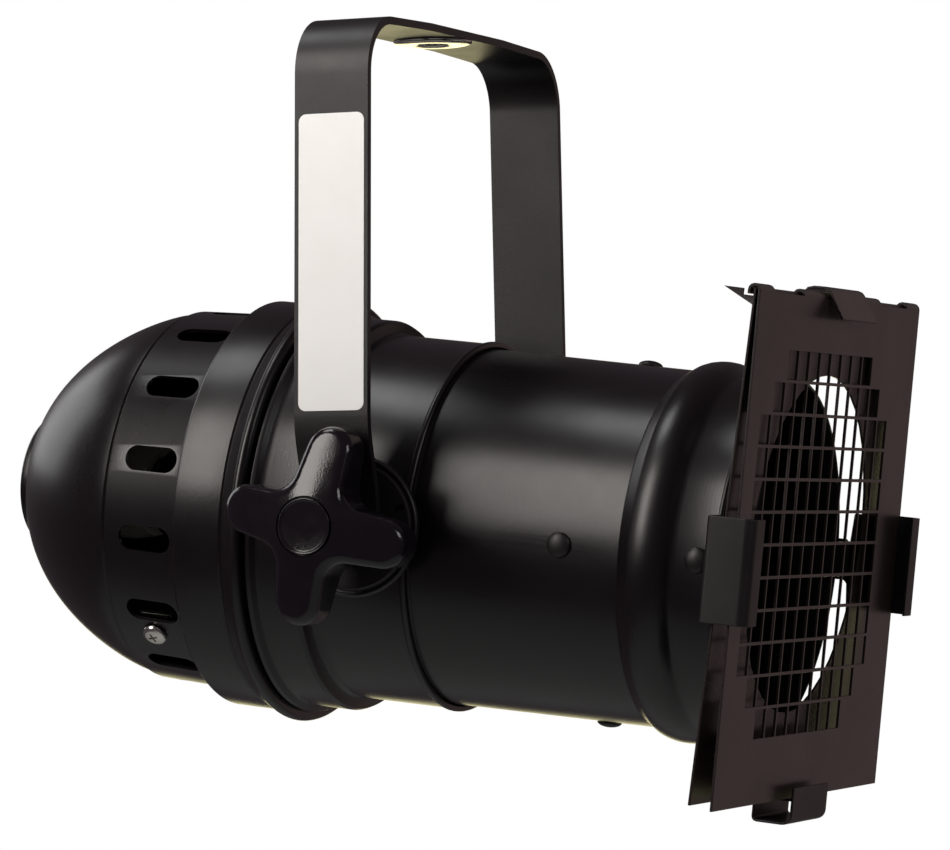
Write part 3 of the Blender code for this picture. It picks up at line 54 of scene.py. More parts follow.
BAR_WIDTH = 0.0300
BAR_THICK = 0.0030
BEND_R = 0.0228
LEG_TOP_Y = 0.0946
LEG_TOP_Z = -0.0239
LEG_SPLAY = math.radians(1.7)
LEG_FOOT_Y = 0.0908
FLAT_HALF = 0.0350
JOGGLE_TOP = 0.0360
JOGGLE_END = 0.0095
HANG_HOLE_R = 0.00525
WASHER_R = 0.0154
WASHER_TOP = 0.0033         # below the top of the crossbar
WASHER_BEND_R = 0.01033     # where its lower side is deepest
WASHER_BEND_HALF = 0.00507
WASHER_BEND = 0.0014

DOME_X = -0.1100
DOME_R = 0.0723
DOME_LENGTH = 0.0620
DOME_ROUND = 1.3            # shape of the dome's curve: how late it starts to close
DOME_BLUNT = 0.40           # and how blunt its pole is
POLE_X = -0.1650
POLE_HOLE_R = 0.0080
BAND_R_REAR = 0.0734
BAND_R_FRONT = 0.0747
SKIRT_X = -0.0760
SKIRT_R = 0.0803
LIP_X = -0.0482
LIP_R = 0.0024
VENTS = 15
VENT_X = -0.0905
VENT_LENGTH = 0.0225
VENT_WIDTH = 0.0100
DRILL_REACH = 0.0120        # how far a drill or punch stands out on each side of the sheet
STRAP_SCREW_X = -0.0920
STRAP_HOLE_R = 0.0023
STRAP_HEAD_R = 0.0049
STRAP_HEAD_H = 0.0025
RECESS = (0.0042, 0.0008, 0.0024)       # length, width and twice the depth of the cross's bars
STRAP_ANGLES = {"near": -45, "far": 144.5}
GLAND_ANGLE = 216
GLAND_HOLE_R = 0.0063
DISC_EDGE_R = 0.0262
DISC_DEPTH = 0.0068
DISC_SPIGOT_R = 0.0077
DISC_SPIGOT = 0.0030

BODY_REAR_R = 0.0767
BODY_RIDGE_R = 0.0795
BODY_STEP_X = -0.0240
BODY_R = 0.0713
BODY_FRONT_X = 0.0185
BODY_OVERLAP = 0.0150

TUBE_R_REAR = 0.0693
TUBE_R_FRONT = 0.0684
TAPER_END = 0.1040
RIB_X = 0.1150
RIB_R = 0.0729
NOSE_R = 0.0690
TUBE_FRONT_X = 0.1412
TUBE_OVERLAP = 0.0095
BAFFLE_X = 0.0790
CLIP_RIVET_X = 0.1336
RIVET_HOLE_R = 0.0027
RIVET_HEAD_R = 0.00475
RIVET_HEAD_H = 0.0020
RIVET_SHANK_R = 0.0024
RIVET_TAIL_R = 0.0036
RIVET_TAIL_H = 0.0010
TUBE_RIVETS = {"near": 0, "top": 97, "far": 180, "bottom": 270}
CLIP_RIVETS = {"near": 0, "far": 180, "bottom": 270}

DISC_R = 0.0268
DISC_FACE = 0.0810
SLIT_SHARE = 0.6            # of the disc's radius, where its slit starts
SLIT_RIM = 0.0040
SLIT_WIDTH = 0.0020
SLIT_LEAN = math.radians(25)
KNOB_FOOT = 0.0927
KNOB_R = 0.0374
KNOB_TIP_R = 0.0090
KNOB_TAPER = 6              # degrees
KNOB_NECK = 0.0099
KNOB_HOLLOW_R = 0.0085
KNOB_HUB_R = 0.0130
KNOB_LOW = 0.0999           # under side of the lobes
KNOB_HIGH = 0.1149          # where the lobes' shoulders begin to close
KNOB_CROWN = 0.1227
KNOB_TURN = math.radians(-7.5)
KNOB_SHOULDER = 0.0033
KNOB_UNDER_R = 0.0042       # roundness of the lobes' lower edge
KNOB_BORE = 0.0183
KNOB_CAP_R = 0.0104
KNOB_CAP_T = 0.0018
INSERT_R = 0.0068

LAMP_BACK_X = -0.1215
LAMP_EDGE_X = -0.0195
LAMP_R = 0.0610
LAMP_NECK_R = 0.0200
LAMP_NECK = 0.0220          # length of the neck
LAMP_BASE_R = 0.0131
LAMP_GLASS = 0.0025         # thickness of the bowl
LENS_T = 0.0040

PLATE_REAR = -0.0132
PLATE_FRONT = 0.0135
PLATE_TOP = -0.0146         # along the leg, from the end of its bend
PLATE_FOOT = -0.1254
PLATE_CORNER_R = 0.0030
PLATE_T = 0.00018
PLATE_GLUE = 0.00002

FLOOR_Z = -2.0
FLOOR_R = 2.5
ROOM_LIGHT = 0.16
ROOM_GLOSS = (0.078, 0.062, 0.070, 1)
# Patches of the room that gloss sees: linear colour, direction, and the angles in degrees
# at which a patch starts and is full. The first is the dim wall to the right of the camera's line,
# the second the warm backdrop straight behind the lamp.
ROOM_PATCHES = (
    ((0.21, 0.155, 0.15, 1), (0.45, 0.90, 0.0), 42, 20),
    ((2.30, 2.10, 1.18, 1), (-0.39, 0.92, -0.09), 14, 9),
)
LIT_MIDDLE = Vector((0, 0, -0.16))

PHOTO_WIDTH = 950           # pixels
FOCAL_LENGTH = 4596.2       # pixels
SENSOR_WIDTH = 36           # mm
CAMERA_PLACE = (0.71916, -1.64226, -0.19294)
CAMERA_PAN = math.radians(23.177)
CAMERA_PITCH = 0.0222
CAMERA_ROLL = math.radians(0.647)

PIVOT = Vector((0, 0, -PIVOT_DROP))
HEAD = Matrix.Translation(PIVOT) @ Matrix.Rotation(TILT, 4, "Y")
BEAM = HEAD @ Matrix.Translation((0, 0, BEAM_UP))


# Working with meshes


def spun(profile, round_off=0.0004, steps=180):
    # Turns a closed outline of (along, radius) points round the beam axis, its corners rounded first.
    bm = bmesh.new()
    verts = [bm.verts.new((x, 0, r)) for x, r in profile]
    edges = [bm.edges.new((verts[i - 1], verts[i])) for i in range(len(verts))]
    corners = [v for v in verts if v.calc_edge_angle(0) > math.radians(18) and v.co.z > 1e-5]
    if round_off:
        bmesh.ops.bevel(bm, geom=corners, offset=round_off, offset_type="OFFSET", segments=3, profile=0.5,
                        affect="VERTICES", clamp_overlap=True, material=-1)
    on_axis = [e for e in bm.edges if all(abs(v.co.z) < 1e-6 for v in e.verts)]
    bmesh.ops.delete(bm, geom=on_axis, context="EDGES")
    bmesh.ops.rotate(bm, verts=bm.verts, cent=(0, 0, 0), matrix=Matrix.Rotation(math.radians(0.7), 3, "X"))
    bmesh.ops.spin(bm, geom=bm.verts[:] + bm.edges[:], axis=(1, 0, 0), cent=(0, 0, 0), angle=math.tau,
                   steps=steps, use_merge=True)
    bmesh.ops.remove_doubles(bm, verts=bm.verts, dist=1e-6)
    bmesh.ops.recalc_face_normals(bm, faces=bm.faces)
    return bm


def pin(radius, low, high, steps=48):
    # A round bar along Z.
    bm = bmesh.new()
    bmesh.ops.create_cone(bm, cap_ends=True, segments=steps, radius1=radius, radius2=radius, depth=high - low)
    bmesh.ops.translate(bm, verts=bm.verts, vec=(0, 0, (low + high) / 2))
    return bm


def radial(x, degrees):
    # Puts local +Z on the outward radius of the barrel. 0 is the near side, 90 is up.
    angle = math.radians(degrees)
    outward = Vector((0, -math.cos(angle), math.sin(angle)))
    along = Vector((1, 0, 0))
    turn = Matrix((along, outward.cross(along), outward)).transposed().to_4x4()
    return Matrix.Translation((x, 0, 0)) @ turn


def put_together(*parts):
    # One mesh of several, each kept closed by itself.
    whole = bmesh.new()
    for part in parts:
        scratch = bpy.data.meshes.new("scratch")
        part.to_mesh(scratch)
        part.free()
        whole.from_mesh(scratch)
        bpy.data.meshes.remove(scratch)
    return whole


def loose_object(name, bm):
    # The mesh as an object of its own, for a modifier or as a finished piece.
    mesh = bpy.data.meshes.new(name)
    bm.to_mesh(mesh)
    bm.free()
    obj = bpy.data.objects.new(name, mesh)
    bpy.context.collection.objects.link(obj)
    return obj


def with_modifiers(obj, *helpers):
    # The mesh of an object with its modifiers applied. The object and its helpers are deleted.
    graph = bpy.context.evaluated_depsgraph_get()
    bm = bmesh.new()
    bm.from_mesh(obj.evaluated_get(graph).to_mesh())
    for used in (obj, *helpers):
        mesh = used.data
        bpy.data.objects.remove(used)
        bpy.data.meshes.remove(mesh)
    return bm


def cut(bm, cutters):
    # The solid less the cutters.
    whole = loose_object("whole", bm)
    tool = loose_object("tool", put_together(*cutters))
    boolean = whole.modifiers.new("cut", "BOOLEAN")
    boolean.operation = "DIFFERENCE"
    boolean.solver = "EXACT"
    boolean.object = tool
    return with_modifiers(whole, tool)


def thickened(bm, along):
    # Sweeps a flat mesh along a vector to a closed solid.
    swept = bmesh.ops.extrude_face_region(bm, geom=bm.faces[:])
    moved = [g for g in swept["geom"] if isinstance(g, bmesh.types.BMVert)]
    bmesh.ops.translate(bm, verts=moved, vec=along)
    bmesh.ops.recalc_face_normals(bm, faces=bm.faces)
    return bm


def break_edges(bm, width, angle=50, segments=2):
    # Rounds every edge sharper than the angle.
    sharp = [e for e in bm.edges if len(e.link_faces) == 2 and e.calc_face_angle(0) > math.radians(angle)]
    bmesh.ops.bevel(bm, geom=sharp, offset=width, offset_type="OFFSET", segments=segments, profile=0.5,
                    affect="EDGES", clamp_overlap=True, material=-1)
    return bm


def piece(name, bm, material, body, place=None, replaces=(), smooth=40, flat=False):
    # A finished piece: its place goes into its mesh, and it rides on a body. Flat faces keep an even shade.
    if place is not None:
        bm.transform(place)
    obj = loose_object(name, bm)
    obj.data.shade_smooth()
    obj.data.set_sharp_from_angle(angle=math.radians(smooth))
    obj.data.materials.append(material)
    if flat:
        flat_faces = obj.modifiers.new("flat_faces", "WEIGHTED_NORMAL")
        flat_faces.keep_sharp = True
    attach(obj, body)
    if replaces:
        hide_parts(*replaces)
    return obj


def refined(node, material, body, width, smooth=40):
    # A CAD piece with its loose triangles merged to whole faces and its edges broken.
    bm = bmesh.new()
    bm.from_mesh(nodes[node].data)
    bmesh.ops.remove_doubles(bm, verts=bm.verts, dist=1e-6)
    bmesh.ops.dissolve_limit(bm, angle_limit=math.radians(0.4), use_dissolve_boundaries=False,
                             verts=bm.verts, edges=bm.edges, delimit=set())
    if width:
        break_edges(bm, width)
    return piece(node + "_finished", bm, material, body, None, (node,), smooth, True)


# Finishes


def linear(code):
    # A colour written as #rrggbb, as the renderer's linear values.
    parts = [int(code[i:i + 2], 16) / 255 for i in (1, 3, 5)]
    return tuple(c / 12.92 if c <= 0.04045 else ((c + 0.055) / 1.055) ** 2.4 for c in parts) + (1,)


def fill(node, sockets):
    # Sets a node's sockets. Each takes a value, or a link from another node's output.
    for name, value in dict(sockets).items():
        if isinstance(value, bpy.types.NodeSocket):
            node.id_data.links.new(value, node.inputs[name])
        else:
            node.inputs[name].default_value = value


def add(tree, kind, sockets=(), **settings):
    # Adds a node with its settings and sockets.
    node = tree.nodes.new("ShaderNode" + kind)
    for name, value in settings.items():
        setattr(node, name, value)
    fill(node, sockets)
    return node


def new_material(name):
    # A material with its node tree and its shader.
    material = bpy.data.materials.new(name)
    material.use_nodes = True
    tree = material.node_tree
    return material, tree, tree.nodes["Principled BSDF"]


def along_beam(tree):
    # Object coordinates turned so that X runs along the barrel.
    where = add(tree, "TexCoord")
    return add(tree, "Mapping", {"Vector": where.outputs["Object"], "Location": BEAM.translation,
                                 "Rotation": (0, TILT, 0)}, vector_type="TEXTURE").outputs["Vector"]


def as_placed(tree):
    # Object coordinates as they are.
    return add(tree, "TexCoord").outputs["Object"]


def paint(name, colour, dusty, rough_low, rough_high, peel_size, peel_depth, spun_marks=False):
    # Baked paint on sheet steel: an orange peel of 1 to 2 mm breaks up the gloss, slow patches 40 mm
    # wide vary it, and specks of dust grey it, 2 mm wide because finer ones wouldn't show. On turned
    # shells the tool's rings show faintly through the paint, 1.5 mm apart where real ones are finer.
    material, tree, shader = new_material(name)
    place = along_beam(tree) if spun_marks else as_placed(tree)
    patches = add(tree, "TexNoise", {"Vector": place, "Scale": 26, "Detail": 4, "Roughness": 0.6})
    rough = add(tree, "MapRange", {"Value": patches.outputs["Fac"], "From Min": 0.3, "From Max": 0.7,
                                   "To Min": rough_low, "To Max": rough_high})
    specks = add(tree, "TexNoise", {"Vector": place, "Scale": 520, "Detail": 6, "Roughness": 0.7})
    settled = add(tree, "MapRange", {"Value": specks.outputs["Fac"], "From Min": 0.52, "From Max": 0.78})
    shade = add(tree, "Mix", {"Factor": settled.outputs["Result"], "A": linear(colour), "B": linear(dusty)},
                data_type="RGBA")
    peel = add(tree, "TexNoise", {"Vector": place, "Scale": 1 / peel_size, "Detail": 2})
    bump = add(tree, "Bump", {"Height": peel.outputs["Fac"], "Strength": 0.6, "Distance": peel_depth})
    if spun_marks:
        rings = add(tree, "TexWave", {"Vector": place, "Scale": 210, "Distortion": 1.2, "Detail": 2,
                                      "Detail Scale": 0.6}, bands_direction="X")
        bump = add(tree, "Bump", {"Height": rings.outputs["Fac"], "Strength": 0.35, "Distance": 0.000006,
                                  "Normal": bump.outputs["Normal"]})
    fill(shader, {"Base Color": shade.outputs["Result"], "Roughness": rough.outputs["Result"],
                  "Normal": bump.outputs["Normal"], "Specular IOR Level": 0.5})
    return material


def moulded_plastic(name, colour, scuffed, rough_low, rough_high):
    # Injection-moulded plastic: a sparked grain, at 0.7 mm coarser than the real one, gives small broken
    # glints, and handling leaves slightly glossier and duller patches.
    material, tree, shader = new_material(name)
    place = as_placed(tree)
    patches = add(tree, "TexNoise", {"Vector": place, "Scale": 90, "Detail": 3})
    rough = add(tree, "MapRange", {"Value": patches.outputs["Fac"], "From Min": 0.35, "From Max": 0.65,
                                   "To Min": rough_low, "To Max": rough_high})
    shade = add(tree, "Mix", {"Factor": patches.outputs["Fac"], "A": linear(colour), "B": linear(scuffed)},
                data_type="RGBA")
    grain = add(tree, "TexVoronoi", {"Vector": place, "Scale": 1500})
    bump = add(tree, "Bump", {"Height": grain.outputs["Distance"], "Strength": 0.5, "Distance": 0.00004})
    fill(shader, {"Base Color": shade.outputs["Result"], "Roughness": rough.outputs["Result"],
                  "Normal": bump.outputs["Normal"]})
    return material


def bare_metal(name, colour, tarnish, rough_low, rough_high):
    # Plated or bare metal: lengthways brushing, 0.5 mm wide so that it shows, and a cloudy tarnish.
    # The lamp's silvering takes it too, as the haze of used glass, in greys darkened as painted shade for the
    # dim inside of the cap.
    material, tree, shader = new_material(name)
    place = as_placed(tree)
    clouds = add(tree, "TexNoise", {"Vector": place, "Scale": 160, "Detail": 5, "Roughness": 0.6})
    shade = add(tree, "Mix", {"Factor": clouds.outputs["Fac"], "A": linear(colour), "B": linear(tarnish)},
                data_type="RGBA")
    rough = add(tree, "MapRange", {"Value": clouds.outputs["Fac"], "From Min": 0.3, "From Max": 0.7,
                                   "To Min": rough_low, "To Max": rough_high})
    stretched = add(tree, "Mapping", {"Vector": place, "Scale": (0.15, 1, 1)})
    brushed = add(tree, "TexNoise", {"Vector": stretched.outputs["Vector"], "Scale": 2200, "Detail": 3})
    bump = add(tree, "Bump", {"Height": brushed.outputs["Fac"], "Strength": 0.3, "Distance": 0.00002})
    fill(shader, {"Base Color": shade.outputs["Result"], "Roughness": rough.outputs["Result"],
                  "Normal": bump.outputs["Normal"], "Metallic": 1})
    return material


def glazed_ceramic():
    # Steatite with a thin glaze: off-white, almost glossy, faintly pitted every 1 to 2 mm.
    material, tree, shader = new_material("glazed_ceramic")
    pits = add(tree, "TexNoise", {"Vector": as_placed(tree), "Scale": 700, "Detail": 3})
    shade = add(tree, "Mix", {"Factor": pits.outputs["Fac"], "A": linear("#e6e1d5"), "B": linear("#d8d1c2")},
                data_type="RGBA")
    rough = add(tree, "MapRange", {"Value": pits.outputs["Fac"], "To Min": 0.22, "To Max": 0.45})
    bump = add(tree, "Bump", {"Height": pits.outputs["Fac"], "Strength": 0.3, "Distance": 0.00003})
    fill(shader, {"Base Color": shade.outputs["Result"], "Roughness": rough.outputs["Result"],
                  "Normal": bump.outputs["Normal"]})
    return material


def lens_glass():
    # Pressed clear glass with a pebbled inner side, pebbles of 3 mm, that breaks up the filament's image.
    material, tree, shader = new_material("pebbled_clear_glass")
    place = along_beam(tree)
    pebbles = add(tree, "TexVoronoi", {"Vector": place, "Scale": 330})
    bump = add(tree, "Bump", {"Height": pebbles.outputs["Distance"], "Strength": 0.7, "Distance": 0.0004})
    clouds = add(tree, "TexNoise", {"Vector": place, "Scale": 60, "Detail": 3})
    rough = add(tree, "MapRange", {"Value": clouds.outputs["Fac"], "To Min": 0.02, "To Max": 0.12})
    fill(shader, {"Base Color": linear("#eef3f2"), "Roughness": rough.outputs["Result"],
                  "Normal": bump.outputs["Normal"], "Transmission Weight": 1, "IOR": 1.47})
    return material


def plate_film():
    # Silver-white polyester film: a satin face with the tooth of a print coat, drawn coarse at 0.7 mm,
    # and a little yellowed in clouds.
    material, tree, shader = new_material("silver_white_film")
    place = as_placed(tree)
    clouds = add(tree, "TexNoise", {"Vector": place, "Scale": 35, "Detail": 4})
    shade = add(tree, "Mix", {"Factor": clouds.outputs["Fac"], "A": linear("#f4f3f3"),
                              "B": linear("#ebeae8")}, data_type="RGBA")
    tooth = add(tree, "TexNoise", {"Vector": place, "Scale": 1400, "Detail": 2})
    rough = add(tree, "MapRange", {"Value": tooth.outputs["Fac"], "To Min": 0.32, "To Max": 0.5})
    bump = add(tree, "Bump", {"Height": tooth.outputs["Fac"], "Strength": 0.25, "Distance": 0.00003})
    fill(shader, {"Base Color": shade.outputs["Result"], "Roughness": rough.outputs["Result"],
                  "Normal": bump.outputs["Normal"], "Metallic": 0.25})
    return material


turned_paint = paint("satin_black_on_turned_steel", "#0b070a", "#151013", 0.26, 0.34, 0.0016, 0.00003, True)
flat_paint = paint("satin_black_on_flat_steel", "#120d0f", "#1f191a", 0.38, 0.48, 0.0011, 0.00004)
# The leaves are black enamel. The warm brown in their base colour is painted reflection of the warm backdrop
# behind the lamp, on top of what the room's gloss reflects.
leaf_enamel_with_painted_reflection = paint("satin_black_enamel_browned_as_painted_reflection", "#241c1b", "#2c2322", 0.24, 0.32, 0.0009, 0.00002)
knob_plastic = moulded_plastic("moulded_black_plastic", "#0d090e", "#161218", 0.11, 0.18)
nylon = moulded_plastic("moulded_black_nylon", "#101010", "#1a1a1a", 0.42, 0.55)
zinc = bare_metal("zinc_plated_steel_bright", "#e4e3de", "#c2bfb6", 0.12, 0.26)
brass = bare_metal("turned_brass", "#c9a45c", "#a07c3c", 0.2, 0.36)
# Silvering darker than bright silver: painted shade, so that the lamp's back looks dark through the vents of
# the cap.
mirror = bare_metal("silvered_glass_darkened_as_painted_shade", "#8e9091", "#747678", 0.10, 0.22)
ceramic = glazed_ceramic()
lens = lens_glass()
film = plate_film()


# Turned shells of the head


def dome_points(count, shrink):
    # From the edge of the flat pole to the seam, closer together near the pole.
    span = DOME_X - POLE_X
    points = []
    for i in range(count):
        x = DOME_X - span * math.cos(math.pi / 2 * i / count) ** 0.8
        share = (DOME_X - x) / DOME_LENGTH
        radius = DOME_R * (1 - share ** DOME_ROUND) ** DOME_BLUNT
        points.append((x + shrink * (DOME_X - x) / span, radius - shrink))
    return points


def lip_points():
    # The rolled lip at the open end of the cap.
    centre_r = SKIRT_R + 0.0009
    turns = [math.radians(170 - 12 * i) for i in range(16)]
    return [(LIP_X + LIP_R * math.cos(a), centre_r + LIP_R * math.sin(a)) for a in turns]


def vent_cutter(angle):
    # A round-ended slot pushed through the band.
    bm = bmesh.new()
    bmesh.ops.create_circle(bm, cap_ends=True, segments=32, radius=VENT_WIDTH / 2)
    straight = (VENT_LENGTH - VENT_WIDTH) / 2
    for v in bm.verts:
        v.co.x += math.copysign(straight, v.co.x)
    thickened(bm, (0, 0, 2 * DRILL_REACH))
    bm.transform(radial(VENT_X, angle) @ Matrix.Translation((0, 0, BAND_R_REAR - DRILL_REACH)))
    return bm


def radial_hole(radius, middle, x, angle):
    # A drill through the sheet, pointing at the beam axis.
    bm = pin(radius, middle - DRILL_REACH, middle + DRILL_REACH)
    bm.transform(radial(x, angle))
    return bm


def cap_profile():
    groove = LIP_X - 3.2 * LIP_R
    band_inside = BAND_R_REAR - WALL - 0.0006
    dome = [(POLE_X, POLE_HOLE_R)] + dome_points(36, 0)
    dome += [(DOME_X, DOME_R), (DOME_X + 0.0008, DOME_R - 0.0006), (DOME_X + 0.0020, BAND_R_REAR)]
    skirt = [(SKIRT_X - 0.0006, BAND_R_FRONT), (SKIRT_X + 0.0004, SKIRT_R - 0.0008)]
    skirt += [(SKIRT_X + 0.0014, SKIRT_R), (groove, SKIRT_R), (groove + 0.0008, SKIRT_R - 0.0005)]
    skirt += [(groove + 0.0018, SKIRT_R + 0.0006)]
    inner = [(LIP_X + LIP_R, SKIRT_R - WALL), (SKIRT_X + WALL, SKIRT_R - WALL)]
    inner += [(SKIRT_X + WALL, BAND_R_FRONT - WALL), (DOME_X + WALL, band_inside)]
    inner += dome_points(20, WALL)[::-1] + [(POLE_X + WALL, POLE_HOLE_R)]
    return dome + skirt + lip_points() + inner


def rear_cap():
    holes = [vent_cutter(360 * (i + 0.5) / VENTS) for i in range(VENTS)]
    holes += [radial_hole(STRAP_HOLE_R, BAND_R_REAR, STRAP_SCREW_X, a) for a in STRAP_ANGLES.values()]
    holes.append(radial_hole(GLAND_HOLE_R, BAND_R_REAR, STRAP_SCREW_X, GLAND_ANGLE))
    bm = cut(spun(cap_profile(), 0.0003), holes)
    piece("rear_cap_spinning", bm, turned_paint, "head", BEAM, ("rear_cap",))


def body_profile():
    ridge = LIP_X + LIP_R + FIT
    sleeve = SKIRT_R - WALL - FIT
    rear = LIP_X + LIP_R + FIT - BODY_OVERLAP
    line = [(rear, sleeve), (ridge, sleeve), (ridge, BODY_RIDGE_R - 0.0004), (ridge + 0.0010, BODY_RIDGE_R)]
    line += [(ridge + 0.0026, BODY_RIDGE_R - 0.0003), (ridge + 0.0040, BODY_REAR_R + 0.0004)]
    line += [(ridge + 0.0060, BODY_REAR_R), (BODY_STEP_X - 0.0022, BODY_REAR_R)]
    line += [(BODY_STEP_X - 0.0006, BODY_REAR_R - 0.0008), (BODY_STEP_X, BODY_REAR_R - 0.0024)]
    line += [(BODY_STEP_X + 0.0012, BODY_R + 0.0008), (BODY_STEP_X + 0.0032, BODY_R)]
    for degrees in range(180, 0, -15):
        # The bead at the front, a little lower than it is long.
        along, out = math.cos(math.radians(degrees)), math.sin(math.radians(degrees))
        line.append((BODY_FRONT_X - 0.0013 + 0.0013 * along, BODY_R - 0.0001 + 0.0010 * out))
    inner = [(BODY_FRONT_X, BODY_R - WALL), (BODY_STEP_X + WALL, BODY_R - WALL)]
    inner += [(BODY_STEP_X - WALL, BODY_REAR_R - WALL), (rear, BODY_REAR_R - WALL)]
    return line + inner


def body_shell():
    bore = pin(BOLT_HOLE_R, -0.09, 0.09)
    bore.transform(Matrix.Translation((0, 0, -BEAM_UP)) @ Matrix.Rotation(math.pi / 2, 4, "X"))
    bm = cut(spun(body_profile(), 0.0005), [bore])
    piece("body_spinning", bm, turned_paint, "head", BEAM, ("body_shell",))


def tube_profile():
    sleeve = BODY_R - WALL - FIT
    rear = BODY_FRONT_X - TUBE_OVERLAP
    line = [(rear, sleeve), (BODY_FRONT_X - 0.0010, sleeve), (BODY_FRONT_X + FIT, TUBE_R_REAR)]
    line += [(TAPER_END - 0.0015, TUBE_R_FRONT), (RIB_X - 0.0115, TUBE_R_FRONT + 0.0008)]
    rib = [(-0.0095, 0.0026), (-0.0078, 0.0013), (-0.0055, 0.0005), (-0.0032, 0.0001), (-0.0010, 0)]
    rib += [(0.0012, 0.0002), (0.0034, 0.0007), (0.0054, 0.0015), (0.0070, 0.0026)]
    line += [(RIB_X + along, RIB_R - below) for along, below in rib]
    line += [(RIB_X + 0.0084, NOSE_R + 0.0004), (RIB_X + 0.0104, NOSE_R), (TUBE_FRONT_X - 0.0016, NOSE_R)]
    line += [(TUBE_FRONT_X - 0.0008, NOSE_R + 0.0004), (TUBE_FRONT_X, NOSE_R)]
    inner = [(TUBE_FRONT_X, NOSE_R - WALL), (RIB_X + 0.0100, NOSE_R - WALL)]
    inner += [(RIB_X + 0.0030, RIB_R - 0.0014 - WALL), (RIB_X - 0.0060, RIB_R - 0.0012 - WALL)]
    inner += [(RIB_X - 0.0115, TUBE_R_FRONT - WALL), (BODY_FRONT_X, TUBE_R_REAR - WALL)]
    return line + inner + [(rear, TUBE_R_REAR - WALL)]


def front_tube():
    holes = [radial_hole(RIVET_HOLE_R, TUBE_R_REAR, BAFFLE_X, a) for a in TUBE_RIVETS.values()]
    holes += [radial_hole(RIVET_HOLE_R, NOSE_R, CLIP_RIVET_X, a) for a in (0, 90, 180, 270)]
    bm = cut(spun(tube_profile(), 0.0006), holes)
    piece("front_tube_spinning", bm, turned_paint, "head", BEAM, ("front_tube",))


def rear_disc():
    seat = POLE_X - FIT
    face = seat - DISC_DEPTH
    spigot = seat + DISC_SPIGOT
    profile = [(spigot, 0), (face, 0), (face, DISC_EDGE_R), (seat, DISC_EDGE_R), (seat, DISC_SPIGOT_R)]
    bm = spun(profile + [(spigot, DISC_SPIGOT_R)], 0.0018, 120)
    piece("rear_disc_pressing", bm, turned_paint, "head", BEAM, ("rear_disc",))


def domed_rivets():
    # Solid rivets with a smooth low dome, set through the sheet.
    share = (BAFFLE_X - BODY_FRONT_X) / (TAPER_END - BODY_FRONT_X)
    tube_r = TUBE_R_REAR + (TUBE_R_FRONT - TUBE_R_REAR) * share
    rows = [("tube_rivet_", tube_r, 0.0022, BAFFLE_X, TUBE_RIVETS),
            ("clip_rivet_", NOSE_R, 0.0036, CLIP_RIVET_X, CLIP_RIVETS)]
    for name, outside, grip, x, angles in rows:
        foot = outside + FIT
        low = outside - grip - FIT
        tail = low - RIVET_TAIL_H
        line = [(tail, 0), (tail, RIVET_TAIL_R), (low, RIVET_TAIL_R), (low, RIVET_SHANK_R)]
        line += [(foot, RIVET_SHANK_R), (foot, RIVET_HEAD_R)]
        for degrees in range(9, 90, 9):
            angle = math.radians(degrees)
            line.append((foot + RIVET_HEAD_H * math.sin(angle), RIVET_HEAD_R * math.cos(angle)))
        line.append((foot + RIVET_HEAD_H, 0))
        for side, place in angles.items():
            bm = spun(line, 0, 48)
            bm.transform(Matrix.Rotation(-math.pi / 2, 4, "Y"))
            piece(name + side + "_head", bm, flat_paint, "head",
                  BEAM @ radial(x, place), (name + side,))


def strap_screws():
    # Pan heads with a cross recess, the brightest spots on the cap.
    share = (STRAP_SCREW_X - DOME_X) / (SKIRT_X - DOME_X)
    outside = BAND_R_REAR + (BAND_R_FRONT - BAND_R_REAR) * share + FIT
    top = outside + STRAP_HEAD_H
    for side, angle in STRAP_ANGLES.items():
        line = [(outside - 0.0065, 0), (outside - 0.0065, 0.0020), (outside, 0.0020), (outside, STRAP_HEAD_R)]
        line += [(outside + 0.0008, STRAP_HEAD_R), (outside + 0.0016, STRAP_HEAD_R - 0.0005)]
        line += [(outside + 0.0022, STRAP_HEAD_R - 0.0016), (top - 0.0001, 0.0018), (top, 0)]
        bm = spun(line, 0.0002, 48)
        bm.transform(Matrix.Rotation(-math.pi / 2, 4, "Y"))
        for turn in (20, 110):
            # The two bars of the cross are cut one after the other, because crossing cutters fail.
            bar = bmesh.new()
            bmesh.ops.create_cube(bar, size=1)
            bar.transform(Matrix.Translation((0, 0, top)) @ Matrix.Rotation(math.radians(turn), 4, "Z")
                          @ Matrix.Diagonal((*RECESS, 1)))
            bm = cut(bm, [bar])
        piece("strap_screw_" + side + "_head", bm, zinc, "head",
              BEAM @ radial(STRAP_SCREW_X, angle), ("strap_screw_" + side,))


# Pivots and knobs


def sided(side):
    # From a piece made along +X to the far or the near side of the head, outwards.
    turn = Matrix.Rotation(math.pi / 2, 4, "Z")
    if side == "near":
        turn = Matrix.Rotation(math.pi, 4, "Z") @ turn
    return HEAD @ turn


def side_disc(side):
    # Pressed disc with a turned rim, a shallow groove inside it and one slit.
    face, back, edge = DISC_FACE, DISC_FACE - WALL, DISC_R
    line = [(back, BOLT_HOLE_R), (face, BOLT_HOLE_R), (face, edge - 0.0034), (face - 0.0006, edge - 0.0026)]
    line += [(face - 0.0006, edge - 0.0018), (face, edge - 0.0010), (face - 0.0006, edge - 0.0002)]
    line += [(face - 0.0024, edge), (face - 0.0024, edge - WALL), (back - 0.0006, edge - WALL - 0.0004)]
    line += [(back - 0.0006, edge - 0.0030), (back, edge - 0.0038)]
    slit_in, slit_out = SLIT_SHARE * edge, edge - SLIT_RIM
    sign = -1 if side == "far" else 1
    slit = bmesh.new()
    bmesh.ops.create_cube(slit, size=1)
    slit.transform(Matrix.Rotation(sign * SLIT_LEAN, 4, "X")
                   @ Matrix.Translation((0, sign * (slit_in + slit_out) / 2, 0))
                   @ Matrix.Diagonal((0.3, slit_out - slit_in, SLIT_WIDTH, 1)))
    bm = cut(spun(line, 0.0003, 120), [slit])
    piece("side_disc_" + side + "_pressing", bm, flat_paint, "head", sided(side),
          ("side_disc_" + side,))


